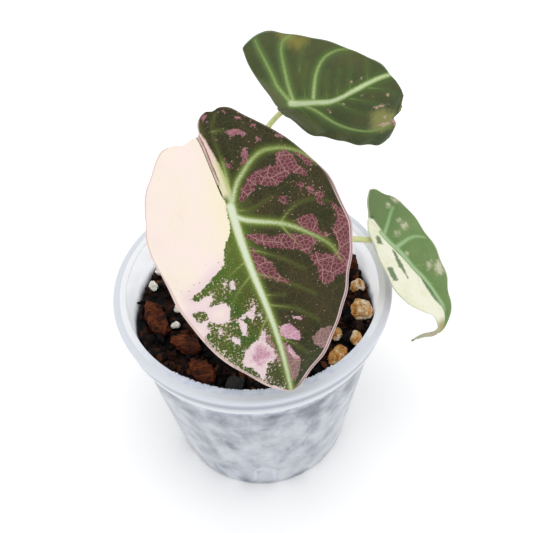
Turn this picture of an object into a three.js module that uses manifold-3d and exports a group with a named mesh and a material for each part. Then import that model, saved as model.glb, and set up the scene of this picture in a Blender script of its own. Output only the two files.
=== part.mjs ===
// A young variegated black velvet alocasia in a small frosted nursery pot.
// Millimetres, +Z up, origin at the middle of the pot's underside.
// The front of the plant, where the largest blade leans out, faces -Y.
import * as THREE from 'three';
import { mergeVertices } from 'three/addons/utils/BufferGeometryUtils.js';
import Module from 'manifold-3d';

const wasm = await Module();
wasm.setup();

// Pot: a thin cup with a flat lip ring and a short skirt hanging from it
const POT_HEIGHT = 78;
const POT_LIP_RADIUS = 45;
const POT_BASE_RADIUS = 32;
const POT_WALL = 1;
const POT_FLOOR = 1.2;
const POT_SKIRT_HEIGHT = 9;
const POT_SKIRT_BOTTOM_RADIUS = 43.1;
const POT_NECK_RADIUS = 41.6;
const POT_SEGMENTS = 64;
const DRAIN_HOLE_RADIUS = 2.6;
const DRAIN_HOLE_RING = 21;
const DRAIN_HOLES = 8;

// Potting mix: a crumbly plug that fills the pot up to just below the skirt
const FIT_GAP = 0.3;
const MIX_TOP = 66;
const MIX_SEGMENTS = 36;
const MIX_SIDE_ROWS = 5;
const MIX_TOP_RINGS = 7;
const MIX_CRUMB = 1.8;

// Crown: the rhizome stands in a plain hole in the mix, its top level with it
const RHIZOME_TOP = 66.4;
const RHIZOME_BOTTOM = 47;
const RHIZOME_RADIUS = 5.6;
const ROOTS = 6;
const ROOT_LENGTH = 42;
const ROOT_RADIUS = 1.1;

// Petioles: round stalks, thicker at the crown
const PETIOLE_BASE_RADIUS = 1.6;
const PETIOLE_TOP_RADIUS = 0.95;
const PETIOLE_SIDES = 8;
const PETIOLE_STEPS = 18;

// Blades: thin leathery shields with raised ribs below and quilted fields above
const BLADE_THICKNESS = 0.7;
const RIB_DEPTH = 0.8;
const RIB_WIDTH = 1.6;
const QUILT_WIDTH = 2.6;
const LOBE_ROWS = 6;
const BLADE_ROWS = 16;
const BLADE_COLUMNS = 6;

const degrees = Math.PI / 180;
const clamp = (value) => Math.min(Math.max(value, 0), 1);
const smooth = (from, to, value) => {
  const t = clamp((value - from) / (to - from));
  return t * t * (3 - 2 * t);
};

// A small seeded generator, so that the same plant comes out each time
function seededRandom(seed) {
  let state = seed;
  return () => {
    state = (state * 1664525 + 1013904223) % 4294967296;
    return state / 4294967296;
  };
}

function material(color, roughness) {
  return new THREE.MeshStandardMaterial({ color, roughness, metalness: 0 });
}

const frosted = material(0xdfe5ec, 0.45);
const mixBrown = material(0x3a2418, 0.95);
const barkRed = material(0x7c3a1c, 0.85);
const charcoalBlack = material(0x1c1a19, 0.8);
const pumiceTan = material(0xc9995a, 0.9);
const perliteWhite = material(0xf1ece2, 0.95);
const rhizomeTan = material(0xb8a27a, 0.8);
const petioleGreen = material(0xd3d99a, 0.5);
const bladePink = material(0xb07a82, 0.55);
const bladeGreen = material(0x4f6a3c, 0.55);
const bladePale = material(0x8fae76, 0.55);

// Closed triangle meshes

function geometryFrom(points, faces) {
  const geometry = new THREE.BufferGeometry();
  geometry.setAttribute('position', new THREE.Float32BufferAttribute(points.flat(), 3));
  geometry.setIndex(faces.flat());
  return geometry;
}

function solid(geometry) {
  const bare = geometry.clone();
  bare.deleteAttribute('normal');
  bare.deleteAttribute('uv');
  const merged = mergeVertices(bare, 1e-4);
  return new wasm.Manifold(new wasm.Mesh({
    numProp: 3,
    vertProperties: new Float32Array(merged.attributes.position.array),
    triVerts: new Uint32Array(merged.index.array),
  }));
}

function geometryOf(body) {
  const mesh = body.getMesh();
  const geometry = new THREE.BufferGeometry();
  geometry.setAttribute('position', new THREE.BufferAttribute(new Float32Array(mesh.vertProperties), 3));
  geometry.setIndex(new THREE.BufferAttribute(new Uint32Array(mesh.triVerts), 1));
  return geometry;
}

// Stacks rings of points into a closed body, with a middle point at each end
function loft(rings, startPoint, endPoint) {
  const sides = rings[0].length;
  const points = [startPoint, ...rings.flat(), endPoint];
  const last = points.length - 1;
  const faces = [];
  for (let side = 0; side < sides; side += 1) {
    const next = (side + 1) % sides;
    faces.push([0, 1 + next, 1 + side]);
    for (let ring = 0; ring < rings.length - 1; ring += 1) {
      const low = 1 + ring * sides;
      const high = low + sides;
      faces.push([low + side, low + next, high + next]);
      faces.push([low + side, high + next, high + side]);
    }
    const top = 1 + (rings.length - 1) * sides;
    faces.push([last, top + side, top + next]);
  }
  return geometryFrom(points, faces);
}

// A round stalk along a curve, whose radius changes from one end to the other
function taperedTube(curve, radiusAt, sides, steps) {
  const frames = curve.computeFrenetFrames(steps, false);
  const rings = [];
  for (let step = 0; step <= steps; step += 1) {
    const centre = curve.getPointAt(step / steps);
    const radius = radiusAt(step / steps);
    const ring = [];
    for (let side = 0; side < sides; side += 1) {
      const turn = (side / sides) * 2 * Math.PI;
      const point = centre.clone()
        .addScaledVector(frames.normals[step], radius * Math.cos(turn))
        .addScaledVector(frames.binormals[step], radius * Math.sin(turn));
      ring.push(point.toArray());
    }
    rings.push(ring);
  }
  return loft(rings, curve.getPointAt(0).toArray(), curve.getPointAt(1).toArray());
}

// Pot

// The wall leans outward up to the skirt's lower edge and stands straight above it
const potOuterRadius = (z) => {
  const rise = Math.min(z / (POT_HEIGHT - POT_SKIRT_HEIGHT), 1);
  return POT_BASE_RADIUS + (POT_NECK_RADIUS - POT_BASE_RADIUS) * rise;
};
const potInnerRadius = (z) => potOuterRadius(z) - POT_WALL;

function potGeometry() {
  const skirtBottom = POT_HEIGHT - POT_SKIRT_HEIGHT;
  const lipUnderside = POT_HEIGHT - POT_WALL;
  const neck = potOuterRadius(lipUnderside);
  const profile = [
    [0, 0],
    [POT_BASE_RADIUS - 1.2, 0],
    [POT_BASE_RADIUS, 1],
    [potOuterRadius(skirtBottom), skirtBottom],
    [neck, lipUnderside],
    [POT_LIP_RADIUS - POT_WALL, lipUnderside],
    [POT_SKIRT_BOTTOM_RADIUS - 0.8, skirtBottom],
    [POT_SKIRT_BOTTOM_RADIUS, skirtBottom],
    [POT_LIP_RADIUS, POT_HEIGHT - 0.6],
    [POT_LIP_RADIUS - 0.6, POT_HEIGHT],
    [potInnerRadius(POT_HEIGHT), POT_HEIGHT],
    [potInnerRadius(skirtBottom), skirtBottom],
    [potInnerRadius(POT_FLOOR + 1.2), POT_FLOOR + 1.2],
    [potInnerRadius(POT_FLOOR) - 1.2, POT_FLOOR],
    [0, POT_FLOOR],
  ];
  const points = profile.map(([radius, height]) => new THREE.Vector2(radius, height));
  const cup = new THREE.LatheGeometry(points, POT_SEGMENTS);
  cup.rotateX(Math.PI / 2);
  let body = solid(cup);
  for (let hole = 0; hole < DRAIN_HOLES; hole += 1) {
    const turn = (hole / DRAIN_HOLES) * 2 * Math.PI;
    const drill = new THREE.CylinderGeometry(DRAIN_HOLE_RADIUS, DRAIN_HOLE_RADIUS, 4 * POT_FLOOR, 10);
    drill.rotateX(Math.PI / 2);
    drill.translate(DRAIN_HOLE_RING * Math.cos(turn), DRAIN_HOLE_RING * Math.sin(turn), POT_FLOOR / 2);
    body = body.subtract(solid(drill));
  }
  return geometryOf(body);
}

// Rhizome and roots, and the slightly larger hollow that they fill in the mix

function rhizomeBody(margin) {
  const height = RHIZOME_TOP - RHIZOME_BOTTOM;
  const shape = [[0, 0], [0.55, 0.02], [0.92, 0.2], [1, 0.5], [0.92, 0.8], [0.78, 1], [0, 1]];
  const profile = shape.map(([radius, rise]) => new THREE.Vector2(
    radius === 0 ? 0 : radius * RHIZOME_RADIUS + margin,
    RHIZOME_BOTTOM + rise * height + (rise < 0.1 ? -margin : 0),
  ));
  const bulb = new THREE.LatheGeometry(profile, 14);
  bulb.rotateX(Math.PI / 2);
  let body = solid(bulb);
  const random = seededRandom(11);
  for (let root = 0; root < ROOTS; root += 1) {
    const turn = ((root + 0.3 * random()) / ROOTS) * 2 * Math.PI;
    const bow = 4 * (random() - 0.5);
    const steep = 0.85 + 0.3 * random();
    const path = [0, 0.35, 0.7, 1].map((along) => {
      const reach = 2 + ROOT_LENGTH * 0.52 * Math.sqrt(along);
      const drop = ROOT_LENGTH * 0.8 * steep * along;
      return new THREE.Vector3(
        reach * Math.cos(turn) - bow * along * Math.sin(turn),
        reach * Math.sin(turn) + bow * along * Math.cos(turn),
        RHIZOME_BOTTOM + 6 - drop,
      );
    });
    const curve = new THREE.CatmullRomCurve3(path);
    const radiusAt = (along) => ROOT_RADIUS * (1 - 0.5 * along) + margin;
    body = body.add(solid(taperedTube(curve, radiusAt, 5, 7)));
  }
  return body;
}

// Loose pieces that lie in the top of the mix

// An uneven rounded stone: each corner of a ball moved in or out a little
function stoneGeometry({ at, size, turn, seed, detail }, margin) {
  const random = seededRandom(seed);
  const ball = new THREE.IcosahedronGeometry(1, detail);
  ball.deleteAttribute('normal');
  ball.deleteAttribute('uv');
  const stone = mergeVertices(ball, 1e-4);
  const position = stone.attributes.position;
  for (let corner = 0; corner < position.count; corner += 1) {
    const stretch = 0.82 + 0.3 * random();
    const point = new THREE.Vector3().fromBufferAttribute(position, corner).multiplyScalar(stretch);
    position.setXYZ(
      corner,
      point.x * (size[0] / 2 + margin),
      point.y * (size[1] / 2 + margin),
      point.z * (size[2] / 2 + margin),
    );
  }
  stone.rotateZ(turn * degrees);
  stone.translate(...at);
  return stone;
}

// A bark chip: a flat slab with seven uneven corners, thinner towards its edges
function chipGeometry({ at, size, turn, tilt, seed }, margin) {
  const random = seededRandom(seed);
  const corners = 7;
  const outline = [];
  for (let corner = 0; corner < corners; corner += 1) {
    const angle = ((corner + 0.4 * random()) / corners) * 2 * Math.PI;
    const reach = 0.86 + 0.16 * random();
    outline.push([Math.cos(angle) * reach, Math.sin(angle) * reach]);
  }
  const levels = [[-0.5, 0.8], [-0.1, 1], [0.3, 0.95], [0.5, 0.74]];
  const rings = levels.map(([level, spread]) => outline.map(([x, y]) => [
    x * spread * (size[0] / 2 + margin),
    y * spread * (size[1] / 2 + margin),
    level * (size[2] + 2 * margin),
  ]));
  const half = size[2] / 2 + margin;
  const chip = loft(rings, [0, 0, -half], [0, 0, half]);
  chip.rotateY((tilt || 0) * degrees);
  chip.rotateZ(turn * degrees);
  chip.translate(...at);
  return chip;
}

// Pieces that show beside the front blade are put where they lie; size is
// length, width and height, and turn is the way the length points
const SHOWN_PIECES = [
  { kind: 'bark_chip', x: -32.6, y: -2.5, size: [19, 7.5, 5], turn: 111 },
  { kind: 'bark_chip', x: -22.6, y: -14, size: [13, 7, 4.5], turn: -30 },
  { kind: 'bark_chip', x: -18, y: -25, size: [12, 7.5, 5], turn: -52 },
  { kind: 'bark_chip', x: 34.2, y: 13, size: [9, 4.5, 11], turn: 112 },
  { kind: 'charcoal_piece', x: -8.2, y: -30.8, size: [8.5, 6.5, 6], turn: 15 },
  { kind: 'charcoal_piece', x: -28, y: 13.5, size: [8, 6.5, 6], turn: 60 },
  { kind: 'charcoal_piece', x: 29.5, y: 1.5, size: [7.5, 6, 6], turn: 80 },
  { kind: 'pumice_stone', x: 35, y: -6.5, size: [8.5, 8, 8], turn: 0 },
  { kind: 'pumice_stone', x: 35.4, y: 4, size: [5.5, 5.5, 6], turn: 30 },
  { kind: 'pumice_stone', x: 24.5, y: -23.5, size: [9, 5.5, 6], turn: 40 },
  { kind: 'pumice_stone', x: 31.6, y: -17.2, size: [6, 5, 5], turn: 70 },
  { kind: 'pumice_stone', x: 25.6, y: -15, size: [4.6, 4.6, 5], turn: 10 },
  { kind: 'perlite_grain', x: -26.2, y: -5.6, size: [4, 3.6, 3.8], turn: 0 },
  { kind: 'perlite_grain', x: -25.2, y: 1, size: [4.4, 4, 4], turn: 50 },
  { kind: 'perlite_grain', x: -20.4, y: -4.6, size: [4, 3.6, 3.6], turn: 20 },
  { kind: 'perlite_grain', x: -33.8, y: 11.6, size: [4.6, 4.2, 4.6], turn: 10 },
  { kind: 'perlite_grain', x: -31.6, y: 18.6, size: [4.2, 4.2, 4.2], turn: 70 },
];

// The rest of the surface is filled by a seeded rule that keeps pieces apart
const FILL = [
  { kind: 'bark_chip', count: 5, size: [12, 6.5, 5] },
  { kind: 'charcoal_piece', count: 3, size: [7.5, 6, 6] },
  { kind: 'pumice_stone', count: 3, size: [6.5, 6, 6] },
  { kind: 'perlite_grain', count: 4, size: [4, 3.8, 4] },
];

// Circles that a piece covers on the surface: a row of them along a long piece
function footprint({ x, y, size, turn }) {
  const radius = size[1] / 2 + 0.5;
  const spread = (size[0] - size[1]) / 2;
  return [-1, -0.5, 0, 0.5, 1].map((place) => ({
    x: x + place * spread * Math.cos(turn * degrees),
    y: y + place * spread * Math.sin(turn * degrees),
    radius,
  }));
}

function fillPieces(shown) {
  const random = seededRandom(29);
  const taken = [{ x: 0, y: 0, radius: RHIZOME_RADIUS + 2 }, ...shown.flatMap(footprint)];
  const placed = [];
  const isFree = (circle) => (
    Math.hypot(circle.x, circle.y) + circle.radius < potInnerRadius(MIX_TOP) - 1
    && taken.every((other) => Math.hypot(circle.x - other.x, circle.y - other.y)
      > circle.radius + other.radius)
  );
  for (const { kind, count, size } of FILL) {
    let left = count;
    for (let attempt = 0; attempt < 4000 && left > 0; attempt += 1) {
      const reach = 9 + 28 * Math.sqrt(random());
      const around = 2 * Math.PI * random();
      const scale = 0.85 + 0.3 * random();
      const piece = {
        kind,
        x: reach * Math.cos(around),
        y: reach * Math.sin(around),
        size: size.map((length) => length * scale),
        turn: 360 * random(),
      };
      const circles = footprint(piece);
      if (circles.every(isFree)) {
        taken.push(...circles);
        placed.push(piece);
        left -= 1;
      }
    }
  }
  return placed;
}

const PIECE_LOOK = {
  bark_chip: { look: barkRed, sunk: 0.12 },
  charcoal_piece: { look: charcoalBlack, sunk: 0.1, detail: 0 },
  pumice_stone: { look: pumiceTan, sunk: 0.12, detail: 1 },
  perlite_grain: { look: perliteWhite, sunk: 0.15, detail: 0 },
};

function loosePieces() {
  const counts = {};
  return [...SHOWN_PIECES, ...fillPieces(SHOWN_PIECES)].map((piece, index) => {
    counts[piece.kind] = (counts[piece.kind] || 0) + 1;
    const { look, sunk, detail } = PIECE_LOOK[piece.kind];
    const spec = {
      at: [piece.x, piece.y, MIX_TOP + sunk * piece.size[2]],
      size: piece.size,
      turn: piece.turn,
      seed: 101 + 7 * index,
      detail,
    };
    const shape = piece.kind === 'bark_chip' ? chipGeometry : stoneGeometry;
    return {
      name: `${piece.kind}_${counts[piece.kind]}`,
      look,
      geometry: shape(spec, 0),
      socket: shape(spec, FIT_GAP + 0.1),
    };
  });
}

// Potting mix: a plug with a crumbly top and a lumpy side, hollowed for what it holds

function mixGeometry(pieces) {
  const random = seededRandom(5);
  const bottom = POT_FLOOR + FIT_GAP;
  const height = MIX_TOP - bottom;
  const rings = [];
  const ringOf = (radiusAt, heightAt) => {
    const ring = [];
    for (let segment = 0; segment < MIX_SEGMENTS; segment += 1) {
      const turn = (segment / MIX_SEGMENTS) * 2 * Math.PI;
      const radius = radiusAt();
      ring.push([radius * Math.cos(turn), radius * Math.sin(turn), heightAt()]);
    }
    return ring;
  };
  rings.push(ringOf(() => potInnerRadius(bottom) - 2, () => bottom));
  for (let row = 0; row <= MIX_SIDE_ROWS; row += 1) {
    const z = bottom + 1.5 + (row / MIX_SIDE_ROWS) * (height - 3);
    rings.push(ringOf(() => potInnerRadius(z) - FIT_GAP - 1.1 * random(), () => z));
  }
  for (let ring = 0; ring < MIX_TOP_RINGS; ring += 1) {
    const reach = potInnerRadius(MIX_TOP) - 1.5 - ring * 4.8;
    rings.push(ringOf(() => reach, () => MIX_TOP + MIX_CRUMB * (random() - 0.6)));
  }
  let body = solid(loft(rings, [0, 0, bottom], [0, 0, MIX_TOP]));
  const hole = new THREE.CylinderGeometry(RHIZOME_RADIUS + 0.4, RHIZOME_RADIUS + 0.4, 20, 14);
  hole.rotateX(Math.PI / 2);
  hole.translate(0, 0, RHIZOME_BOTTOM + 20);
  body = body.subtract(solid(hole)).subtract(rhizomeBody(FIT_GAP + 0.05));
  for (const { socket } of pieces) {
    body = body.subtract(solid(socket));
  }
  const parts = body.decompose().sort((a, b) => b.volume() - a.volume());
  return geometryOf(parts[0]);
}

// Blades

// Each blade is drawn in its own flat millimetres: x across, y from the stalk
// towards the tip, with its right half at +x. Each margin is a line of
// [distance along, distance across] pairs from the end of its lobe: outer is
// the free margin and inner the edge of the cleft behind the stalk.
// heading is the way the tip points, slope how far it points down, and bank
// how far the right half hangs down. bends turn the blade down along its
// length, in degrees for each millimetre, over [from, to]. fold is the angle
// at the midrib and curl the further turn across each half. tuck folds the
// right half further behind the stalk. Ribs are lines of [x, y] points.
const BLADES = {
  front: {
    look: bladePink,
    stalk: [-3.9, -16.9, 129.3],
    heading: -71,
    slope: 42,
    bank: 8,
    bends: [[-30, 0, 0.3], [0, 30, 0.1], [30, 60, 0.45]],
    middle: [[0, 0], [52, 0]],
    right: {
      fold: 0,
      curl: 0.6,
      outer: [[-20.2, 10], [-18.2, 13.8], [-15, 16.7], [-7, 21.3], [0, 23.3], [6, 23.8], [20, 21.8],
        [30, 18.8], [39.5, 13.5], [47.5, 6.6], [52, 0]],
      inner: [[-20.2, 2.8], [-17, 2.2], [-11, 1.7], [-4, 1.1], [0, 0]],
    },
    left: {
      fold: 0,
      curl: 0.6,
      outer: [[-25.6, -3.4], [-24.8, -7.4], [-22.5, -10.8], [-19, -14], [-12.4, -20.7], [-4.3, -26.1],
        [2, -28.8], [12, -30.2], [19, -29.1], [28, -24.6], [36, -19.6], [43, -13.8], [48.4, -6.1],
        [52, 0]],
      inner: [[-25.6, -2.6], [-24.3, 0.3], [-20.2, 1.5], [-12, 1.1], [-4, 0.7], [0, 0]],
    },
    tuck: 0,
    quilt: 0.5,
    wave: 0.35,
    ribs: [
      [[0, 0], [0.3, 12], [-0.5, 26], [-0.7, 40], [0, 51]],
      [[0, 0], [-1.5, -6.5], [-2, -13], [-1.6, -19], [-4.2, -24]],
      [[0, 0], [-3, -5], [-9, -10], [-16, -11.1], [-23, -8]],
      [[0, 2.5], [-5, 5.7], [-14.6, 10.4], [-21.2, 16.4], [-25, 25]],
      [[0, 12], [-6.3, 15.5], [-12.1, 20.5]],
      [[0, 19], [-5.2, 21.4], [-12.7, 27.7]],
      [[-0.5, 27.5], [-5.3, 29.4], [-11.6, 34.7]],
      [[0, 0], [3, -6], [8, -11], [15, -11.5]],
      [[0, 2.5], [6, 5], [13, 8], [20, 12]],
      [[0, 18.5], [4.8, 21.1], [9.8, 26.8], [12.7, 34.6]],
    ],
  },
  back: {
    look: bladeGreen,
    stalk: [16.6, 32.8, 122.9],
    heading: 3,
    slope: -6.5,
    bank: 55,
    bends: [[-30, 0, 1.6], [0, 26, 0.3], [26, 60, 1.5]],
    middle: [[0, 0], [27, 0], [33, 1.4], [37.8, 6]],
    right: {
      fold: 28,
      curl: 0.75,
      outer: [[-9, 3.5], [-7.5, 7], [-3, 11], [2, 13], [7, 14.6], [12, 17], [18, 20.8], [23, 23.3],
        [29, 24.8], [33, 24], [36, 20], [37.4, 13], [37.8, 6]],
      inner: [[-9, 1.6], [-5, 0.9], [-2, 0.6], [0, 0]],
    },
    left: {
      fold: 3,
      curl: 0.7,
      outer: [[-12.6, -19.5], [-11.4, -20.6], [-7.4, -22.5], [-2, -22.8], [3, -20.9], [10.5, -18.1],
        [17, -15], [21.5, -12], [26, -9], [30, -5.8], [33, -1.2], [35.5, 2.5], [37.8, 6]],
      inner: [[-12.6, -18.8], [-11.5, -15], [-8.5, -8], [-5, -3], [-2, -0.6], [0, 0]],
    },
    tuck: 32,
    quilt: 0.5,
    wave: 0.3,
    ribs: [
      [[0, 0], [1.6, 13], [0.7, 20], [-1.2, 32]],
      [[0, 0], [-6.2, -3.4], [-13.8, -5.8], [-21, -7.8]],
      [[0, 0], [-7, 0.2], [-13.4, -0.2], [-18.2, 0.6]],
      [[0.6, 6.5], [-5.2, 8.6], [-11.4, 12], [-12.6, 20.2]],
      [[0.8, 3], [5.5, 7.7], [14, 16.2], [17, 24], [16.7, 34]],
      [[0, 0], [4, -3], [8, -3]],
    ],
  },
  right: {
    look: bladePale,
    stalk: [42.2, -1.8, 95.9],
    heading: -46,
    slope: 32,
    bank: -15,
    bends: [[-30, 0, 0.8], [0, 26, 0.3], [26, 40, 6.8]],
    middle: [[0, 0], [48, 0]],
    right: {
      fold: 9,
      curl: 0.7,
      outer: [[-7.9, 1], [-6.4, 2.6], [-3, 5], [0.2, 6.4], [7.3, 9], [12, 10], [16, 10.1], [20, 9.3],
        [25, 6.1], [28, 3.9], [32, 3], [38, 2], [44, 0.9], [48, 0]],
      inner: [[-7.9, 0.5], [-5, 0.3], [0, 0]],
    },
    left: {
      fold: -17,
      curl: 0.9,
      outer: [[-14, -8.4], [-13.2, -9.8], [-10.2, -10.9], [-8, -12.8], [-4.9, -14.1], [0, -13.8],
        [8.6, -13.1], [15.3, -11.6], [21.8, -8.6], [26.5, -5], [30, -3.4], [36, -2.4], [42, -1.3],
        [48, 0]],
      inner: [[-14, -7.8], [-12.6, -5.2], [-9, -1.9], [-5, -0.8], [0, 0]],
    },
    tuck: 0,
    quilt: 0.45,
    wave: 0.3,
    ribs: [
      [[0, 0], [0, 8], [-1.4, 18], [-1.2, 28], [0, 47]],
      [[0, 0], [-4.2, -4.1], [-8.6, -9]],
      [[-0.5, 3.4], [-3.8, 4.1], [-7.6, 5.6], [-11.5, 9]],
      [[-1.4, 14], [-5, 16], [-8.5, 20]],
      [[0, 3], [4, 5.5], [7, 11]],
      [[0, 0], [1.2, -4]],
    ],
  },
};

// Directions of a blade: tip runs along the midrib, across to its right, face out of it
function bladeFrame({ heading, slope, bank }) {
  const h = heading * degrees;
  const s = slope * degrees;
  const b = bank * degrees;
  const tip = new THREE.Vector3(Math.cos(h) * Math.cos(s), Math.sin(h) * Math.cos(s), -Math.sin(s));
  const level = new THREE.Vector3(Math.sin(h), -Math.cos(h), 0);
  const up = new THREE.Vector3().crossVectors(level, tip);
  const across = level.clone().multiplyScalar(Math.cos(b)).addScaledVector(up, -Math.sin(b));
  const face = level.clone().multiplyScalar(Math.sin(b)).addScaledVector(up, Math.cos(b));
  return { tip, across, face };
}

// The midrib's course in its own plane: how far along, how far down, how much turned
function midribAt(bends, y) {
  const step = y < 0 ? -0.5 : 0.5;
  let along = 0;
  let down = 0;
  let turned = 0;
  for (let place = 0; Math.abs(place) < Math.abs(y); place += step) {
    const stride = Math.abs(y - place) < 0.5 ? y - place : step;
    const middle = place + stride / 2;
    const rate = bends.find(([from, to]) => middle >= from && middle < to)?.[2] ?? 0;
    turned += (rate * degrees * stride) / 2;
    along += Math.cos(turned) * stride;
    down += Math.sin(turned) * stride;
    turned += (rate * degrees * stride) / 2;
  }
  return { along, down, turned };
}

// A point of the blade in space, with the direction square to its face
function bladePoint(blade, frame, x, y, lift) {
  const side = x < 0 ? -1 : 1;
  const half = x < 0 ? blade.left : blade.right;
  const extra = x < 0 ? 0 : blade.tuck * smooth(7, -3, y) * smooth(0, 4, x);
  const fold = (half.fold + extra) * degrees;
  const curl = half.curl * degrees;
  const reach = Math.abs(x);
  const end = fold + curl * reach;
  const out = side * (Math.sin(end) - Math.sin(fold)) / curl;
  const sag = (Math.cos(end) - Math.cos(fold)) / curl;
  const { along, down, turned } = midribAt(blade.bends, y);
  const tilted = new THREE.Vector3()
    .addScaledVector(frame.tip, Math.sin(turned))
    .addScaledVector(frame.face, Math.cos(turned));
  const normal = new THREE.Vector3()
    .addScaledVector(frame.across, side * Math.sin(end))
    .addScaledVector(tilted, Math.cos(end));
  const point = new THREE.Vector3(...blade.stalk)
    .addScaledVector(frame.across, out)
    .addScaledVector(frame.tip, along)
    .addScaledVector(frame.face, -down)
    .addScaledVector(tilted, sag)
    .addScaledVector(normal, lift);
  return { point, normal };
}

// How far across a margin lies at a distance along: a smooth curve through its pairs
function acrossAt(pairs, along) {
  const last = pairs.length - 1;
  const index = Math.max(pairs.findIndex(([at]) => at >= along), 1);
  const [a0, c0] = pairs[index - 1];
  const [a1, c1] = pairs[index];
  const [before, cBefore] = pairs[Math.max(index - 2, 0)];
  const [after, cAfter] = pairs[Math.min(index + 1, last)];
  const t = clamp((along - a0) / (a1 - a0));
  const slope0 = ((c1 - cBefore) / (a1 - before)) * (a1 - a0);
  const slope1 = ((cAfter - c0) / (after - a0)) * (a1 - a0);
  const t2 = t * t;
  const t3 = t2 * t;
  return (2 * t3 - 3 * t2 + 1) * c0 + (t3 - 2 * t2 + t) * slope0
    + (3 * t2 - 2 * t3) * c1 + (t3 - t2) * slope1;
}

function distanceToLine(line, x, y) {
  let nearest = Infinity;
  for (let index = 1; index < line.length; index += 1) {
    const [ax, ay] = line[index - 1];
    const [bx, by] = line[index];
    const length2 = (bx - ax) ** 2 + (by - ay) ** 2;
    const t = clamp(((x - ax) * (bx - ax) + (y - ay) * (by - ay)) / length2);
    nearest = Math.min(nearest, Math.hypot(x - ax - t * (bx - ax), y - ay - t * (by - ay)));
  }
  return nearest;
}

// Rows across one half, from the end of its lobe to the tip, closer at both ends
function rowsOf(half) {
  const back = half.outer[0][0];
  const tip = half.outer[half.outer.length - 1][0];
  const rows = [];
  for (let row = 0; row < LOBE_ROWS; row += 1) {
    rows.push({ y: back * Math.cos((row / LOBE_ROWS) * (Math.PI / 2)), end: 1 - row / LOBE_ROWS });
  }
  for (let row = 0; row <= BLADE_ROWS; row += 1) {
    rows.push({ y: tip * Math.sin((row / BLADE_ROWS) * (Math.PI / 2)), end: row / BLADE_ROWS });
  }
  return rows;
}

// The flat sheet of a blade: shared corners, and faces that look out of its upper side
function bladeSheet(blade) {
  const corners = [];
  const faces = [];
  const known = new Map();
  const cornerAt = (x, y, edge) => {
    const key = `${x.toFixed(3)} ${y.toFixed(3)}`;
    if (!known.has(key)) {
      known.set(key, corners.length);
      corners.push({ x, y, edge });
    }
    return known.get(key);
  };
  for (const [half, side] of [[blade.right, 1], [blade.left, -1]]) {
    const grid = rowsOf(half).map(({ y, end }) => {
      const inside = y < 0 ? acrossAt(half.inner, y) : acrossAt(blade.middle, y);
      const outside = acrossAt(half.outer, y);
      const row = [];
      for (let column = 0; column <= BLADE_COLUMNS; column += 1) {
        const across = column / BLADE_COLUMNS;
        const x = inside + (outside - inside) * across;
        row.push(cornerAt(x, y, Math.max(across, end ** 3)));
      }
      return row;
    });
    for (let row = 0; row < grid.length - 1; row += 1) {
      for (let column = 0; column < BLADE_COLUMNS; column += 1) {
        const quad = [grid[row][column], grid[row][column + 1],
          grid[row + 1][column + 1], grid[row + 1][column]];
        const [a, b, c, d] = side > 0 ? quad : [quad[1], quad[0], quad[3], quad[2]];
        faces.push([a, b, c], [a, c, d]);
      }
    }
  }
  const isWhole = ([a, b, c]) => a !== b && b !== c && c !== a;
  return { corners, faces: faces.filter(isWhole) };
}

function bladeGeometry(blade) {
  const frame = bladeFrame(blade);
  const { corners, faces } = bladeSheet(blade);
  const half = BLADE_THICKNESS / 2;
  const upper = [];
  const lower = [];
  for (const { x, y, edge } of corners) {
    const toRib = Math.min(...blade.ribs.map((rib) => distanceToLine(rib, x, y)));
    const inner = 1 - smooth(0.8, 1, edge);
    const quilt = blade.quilt * (1 - Math.exp(-((toRib / QUILT_WIDTH) ** 2))) * inner;
    const ripple = blade.wave * edge ** 4 * Math.sin(0.55 * y + 0.4 * x);
    const rib = RIB_DEPTH * Math.exp(-((toRib / RIB_WIDTH) ** 2)) * (1 - edge) ** 0.5;
    upper.push(bladePoint(blade, frame, x, y, quilt + ripple + half).point.toArray());
    lower.push(bladePoint(blade, frame, x, y, quilt + ripple - half - rib).point.toArray());
  }
  const under = corners.length;
  const closed = [];
  const edges = new Set(faces.flatMap(([a, b, c]) => [`${a} ${b}`, `${b} ${c}`, `${c} ${a}`]));
  for (const [a, b, c] of faces) {
    closed.push([a, b, c], [under + a, under + c, under + b]);
  }
  for (const edge of edges) {
    const [a, b] = edge.split(' ').map(Number);
    if (!edges.has(`${b} ${a}`)) {
      closed.push([b, a, under + a], [b, under + a, under + b]);
    }
  }
  return geometryFrom([...upper, ...lower], closed);
}

// Petioles: each leaves the crown, rises and meets its blade from below

const PETIOLE_FOOT = RHIZOME_TOP + FIT_GAP + 0.1;
const PETIOLES = {
  front: [[-2, -1.4, PETIOLE_FOOT], [-2.1, -1.2, 71], [-2.8, 2, 86], [-3.6, 1, 107], [-4.8, -9, 121.4]],
  back: [[0.2, 2.4, PETIOLE_FOOT], [0.3, 2.8, 71], [1.5, 12, 87], [4.6, 29, 102.5],
    [9.5, 38, 110.8], [14, 40, 114], [16.7, 38.4, 118.4]],
  right: [[2.2, -1.2, PETIOLE_FOOT], [2.6, -1.2, 71], [6.5, -0.8, 83], [15, 0, 92.6], [26, -0.8, 96],
    [36, -1.4, 95.4]],
};
// How far below its blade's middle sheet each stalk ends
const STALK_CLEARANCE = { front: 1.45, back: 2.35, right: 2.3 };

function petioleGeometry(name) {
  const blade = BLADES[name];
  const { face } = bladeFrame(blade);
  const end = new THREE.Vector3(...blade.stalk).addScaledVector(face, -STALK_CLEARANCE[name]);
  const points = PETIOLES[name].map((place) => new THREE.Vector3(...place));
  const curve = new THREE.CatmullRomCurve3([...points, end]);
  const radiusAt = (along) => (
    PETIOLE_TOP_RADIUS + (PETIOLE_BASE_RADIUS - PETIOLE_TOP_RADIUS) * (1 - along) ** 1.5
  );
  return taperedTube(curve, radiusAt, PETIOLE_SIDES, PETIOLE_STEPS);
}

// Assembly

const group = new THREE.Group();

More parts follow.
